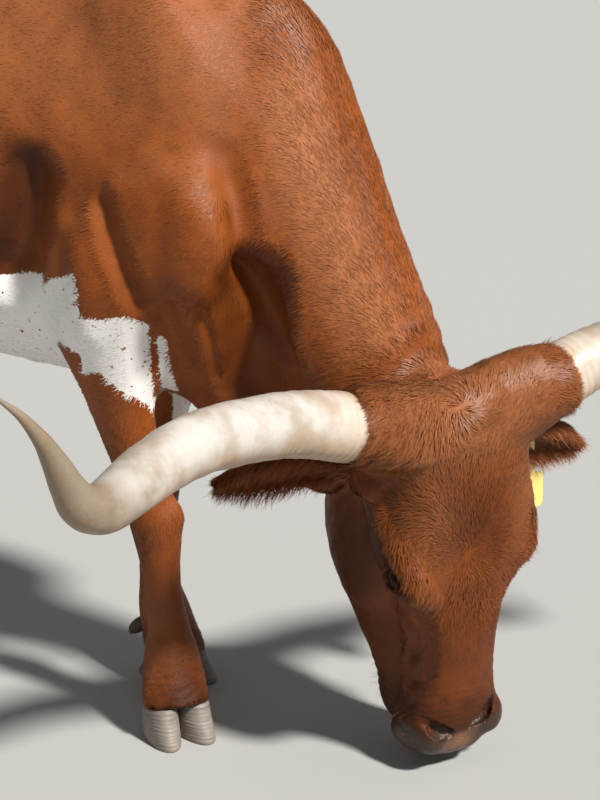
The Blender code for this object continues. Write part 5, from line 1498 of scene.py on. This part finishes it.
# %% Lashes
LASHES = 130
for word, side in (("right", -1.0), ("left", 1.0)):
    own = np.random.default_rng(71 if side > 0 else 72)
    centre, look, along, across = eye_axes(side)
    upper = own.random(LASHES) < 0.72
    t = np.where(upper, own.uniform(1.12, 1.88, LASHES), own.uniform(0.2, 0.8, LASHES)) * math.pi
    x = (SLIT[0] + 0.001) * np.cos(t)
    y = (slit_half(np.sin(t)) + 0.0015) * np.sin(t) * (1 - 0.25 * np.cos(t) ** 2)
    d = np.sqrt(np.maximum((EYE_RADIUS + 0.002) ** 2 - x ** 2 - y ** 2, 0.0)) + 0.001
    root_at = centre + x[:, None] * along + y[:, None] * across + d[:, None] * look
    aim = unit(look + 0.35 * np.sign(y)[:, None] * across + 0.3 * (x / SLIT[0])[:, None] * along
               + own.normal(0, 0.10, (LASHES, 3)))
    fall = unit(look * 0.7 + FALL * 0.3 + 0.1 * np.sign(y)[:, None] * across
                + own.normal(0, 0.12, (LASHES, 3)))
    long_lash = np.where(upper, own.uniform(0.012, 0.020, LASHES), own.uniform(0.006, 0.010, LASHES))
    strands, _ = ribbons(root_at, aim, fall, long_lash, np.full(LASHES, 0.0005), 6, 73)
    place = np.stack([0.1 + 0.8 * (x / SLIT[0] / 2 + 0.5), 0.1 + 0.8 * upper], axis=1)
    ribbon_object("lashes_" + word, strands, np.tile((0.0, 0.55, 0.0, 0.1), (LASHES, 1)), own.random(LASHES),
                  place, hair_finish.made)

# %% Whiskers
WHISKERS = 260
own = np.random.default_rng(81)
low_face = np.nonzero((skin_part["head"] > 0.9) & (skin_part["a"] > 0.52) & (skin_part["h"] < -0.09))[0]
picked = own.choice(low_face, WHISKERS)
here, normal = skin_points[picked], skin_normals[picked]
aim = unit(normal + 0.4 * FALL + own.normal(0, 0.2, (WHISKERS, 3)))
fall = unit(0.6 * normal + 0.8 * FALL - 0.3 * OUT + own.normal(0, 0.2, (WHISKERS, 3)))
strands, _ = ribbons(here - normal * 0.001, aim, fall, own.uniform(0.008, 0.034, WHISKERS),
                     np.full(WHISKERS, 0.00045), 7, 82)
tone = own.random(WHISKERS)
across, up = 0.03 + 0.94 * (skin_part["w"][picked] + 0.12) / 0.24, 0.03 + 0.94 * own.random(WHISKERS)
ribbon_object("whiskers", strands, np.tile((0.25, 0.3, 0.0, 0.4), (WHISKERS, 1)), tone,
              np.stack([across, up], axis=1), hair_finish.made)
print("whiskers:", WHISKERS)

# %% [markdown]
# ## Floor, light and camera
# The studio is plain: a pale floor, one soft light high on the camera's right and a weak even sky.
# The camera stands 1.53 m up, ahead of the animal and to its right, and looks down at the head
# along a long lens.

# %% Stage
FLOOR_HALF = 40.0
corners = FLOOR_HALF * np.array(((-1, -1, 0), (1, -1, 0), (1, 1, 0), (-1, 1, 0)), float)
floor = object_of("floor", corners, [(0, 1, 2, 3)])
floor_finish = Finish("floor")
floor_finish.set(Base_Color=(0.45, 0.45, 0.44), Roughness=0.95, Specular_IOR_Level=0.1)
floor.data.materials.append(floor_finish.made)

world = bpy.data.worlds.new("studio")
bpy.context.scene.world = world
world.use_nodes = True
world.node_tree.nodes["Background"].inputs[0].default_value = (0.93, 0.96, 1.0, 1.0)
world.node_tree.nodes["Background"].inputs[1].default_value = 0.22


def lamp(name, toward, width, power, colour):
    """A distant soft light: it shines from a direction, over a disc so many degrees wide."""
    light = bpy.data.lights.new(name, "SUN")
    light.angle = math.radians(width)
    light.energy = power
    light.color = colour
    made = bpy.data.objects.new(name, light)
    bpy.context.scene.collection.objects.link(made)
    x, y, z = unit(np.array(toward))
    made.rotation_euler = (math.acos(z), 0.0, math.atan2(x, -y))
    return made


lamp("key", (0.70, -0.13, 0.70), 6.0, 5.5, (1.0, 0.965, 0.92))
bpy.context.scene.view_settings.view_transform = "Standard"

# %% Camera
CAMERA_AT = (2.3152, -2.5416, 1.527)
CAMERA_DOWN, CAMERA_TURN = 15.5, 35.0
lens = bpy.data.cameras.new("camera")
lens.lens = 90.0
lens.sensor_width = 36.0
lens.clip_end = 200.0
camera = bpy.data.objects.new("camera", lens)
bpy.context.scene.collection.objects.link(camera)
camera.location = CAMERA_AT
camera.rotation_euler = (math.radians(90.0 - CAMERA_DOWN), 0.0, math.radians(CAMERA_TURN))
bpy.context.scene.camera = camera
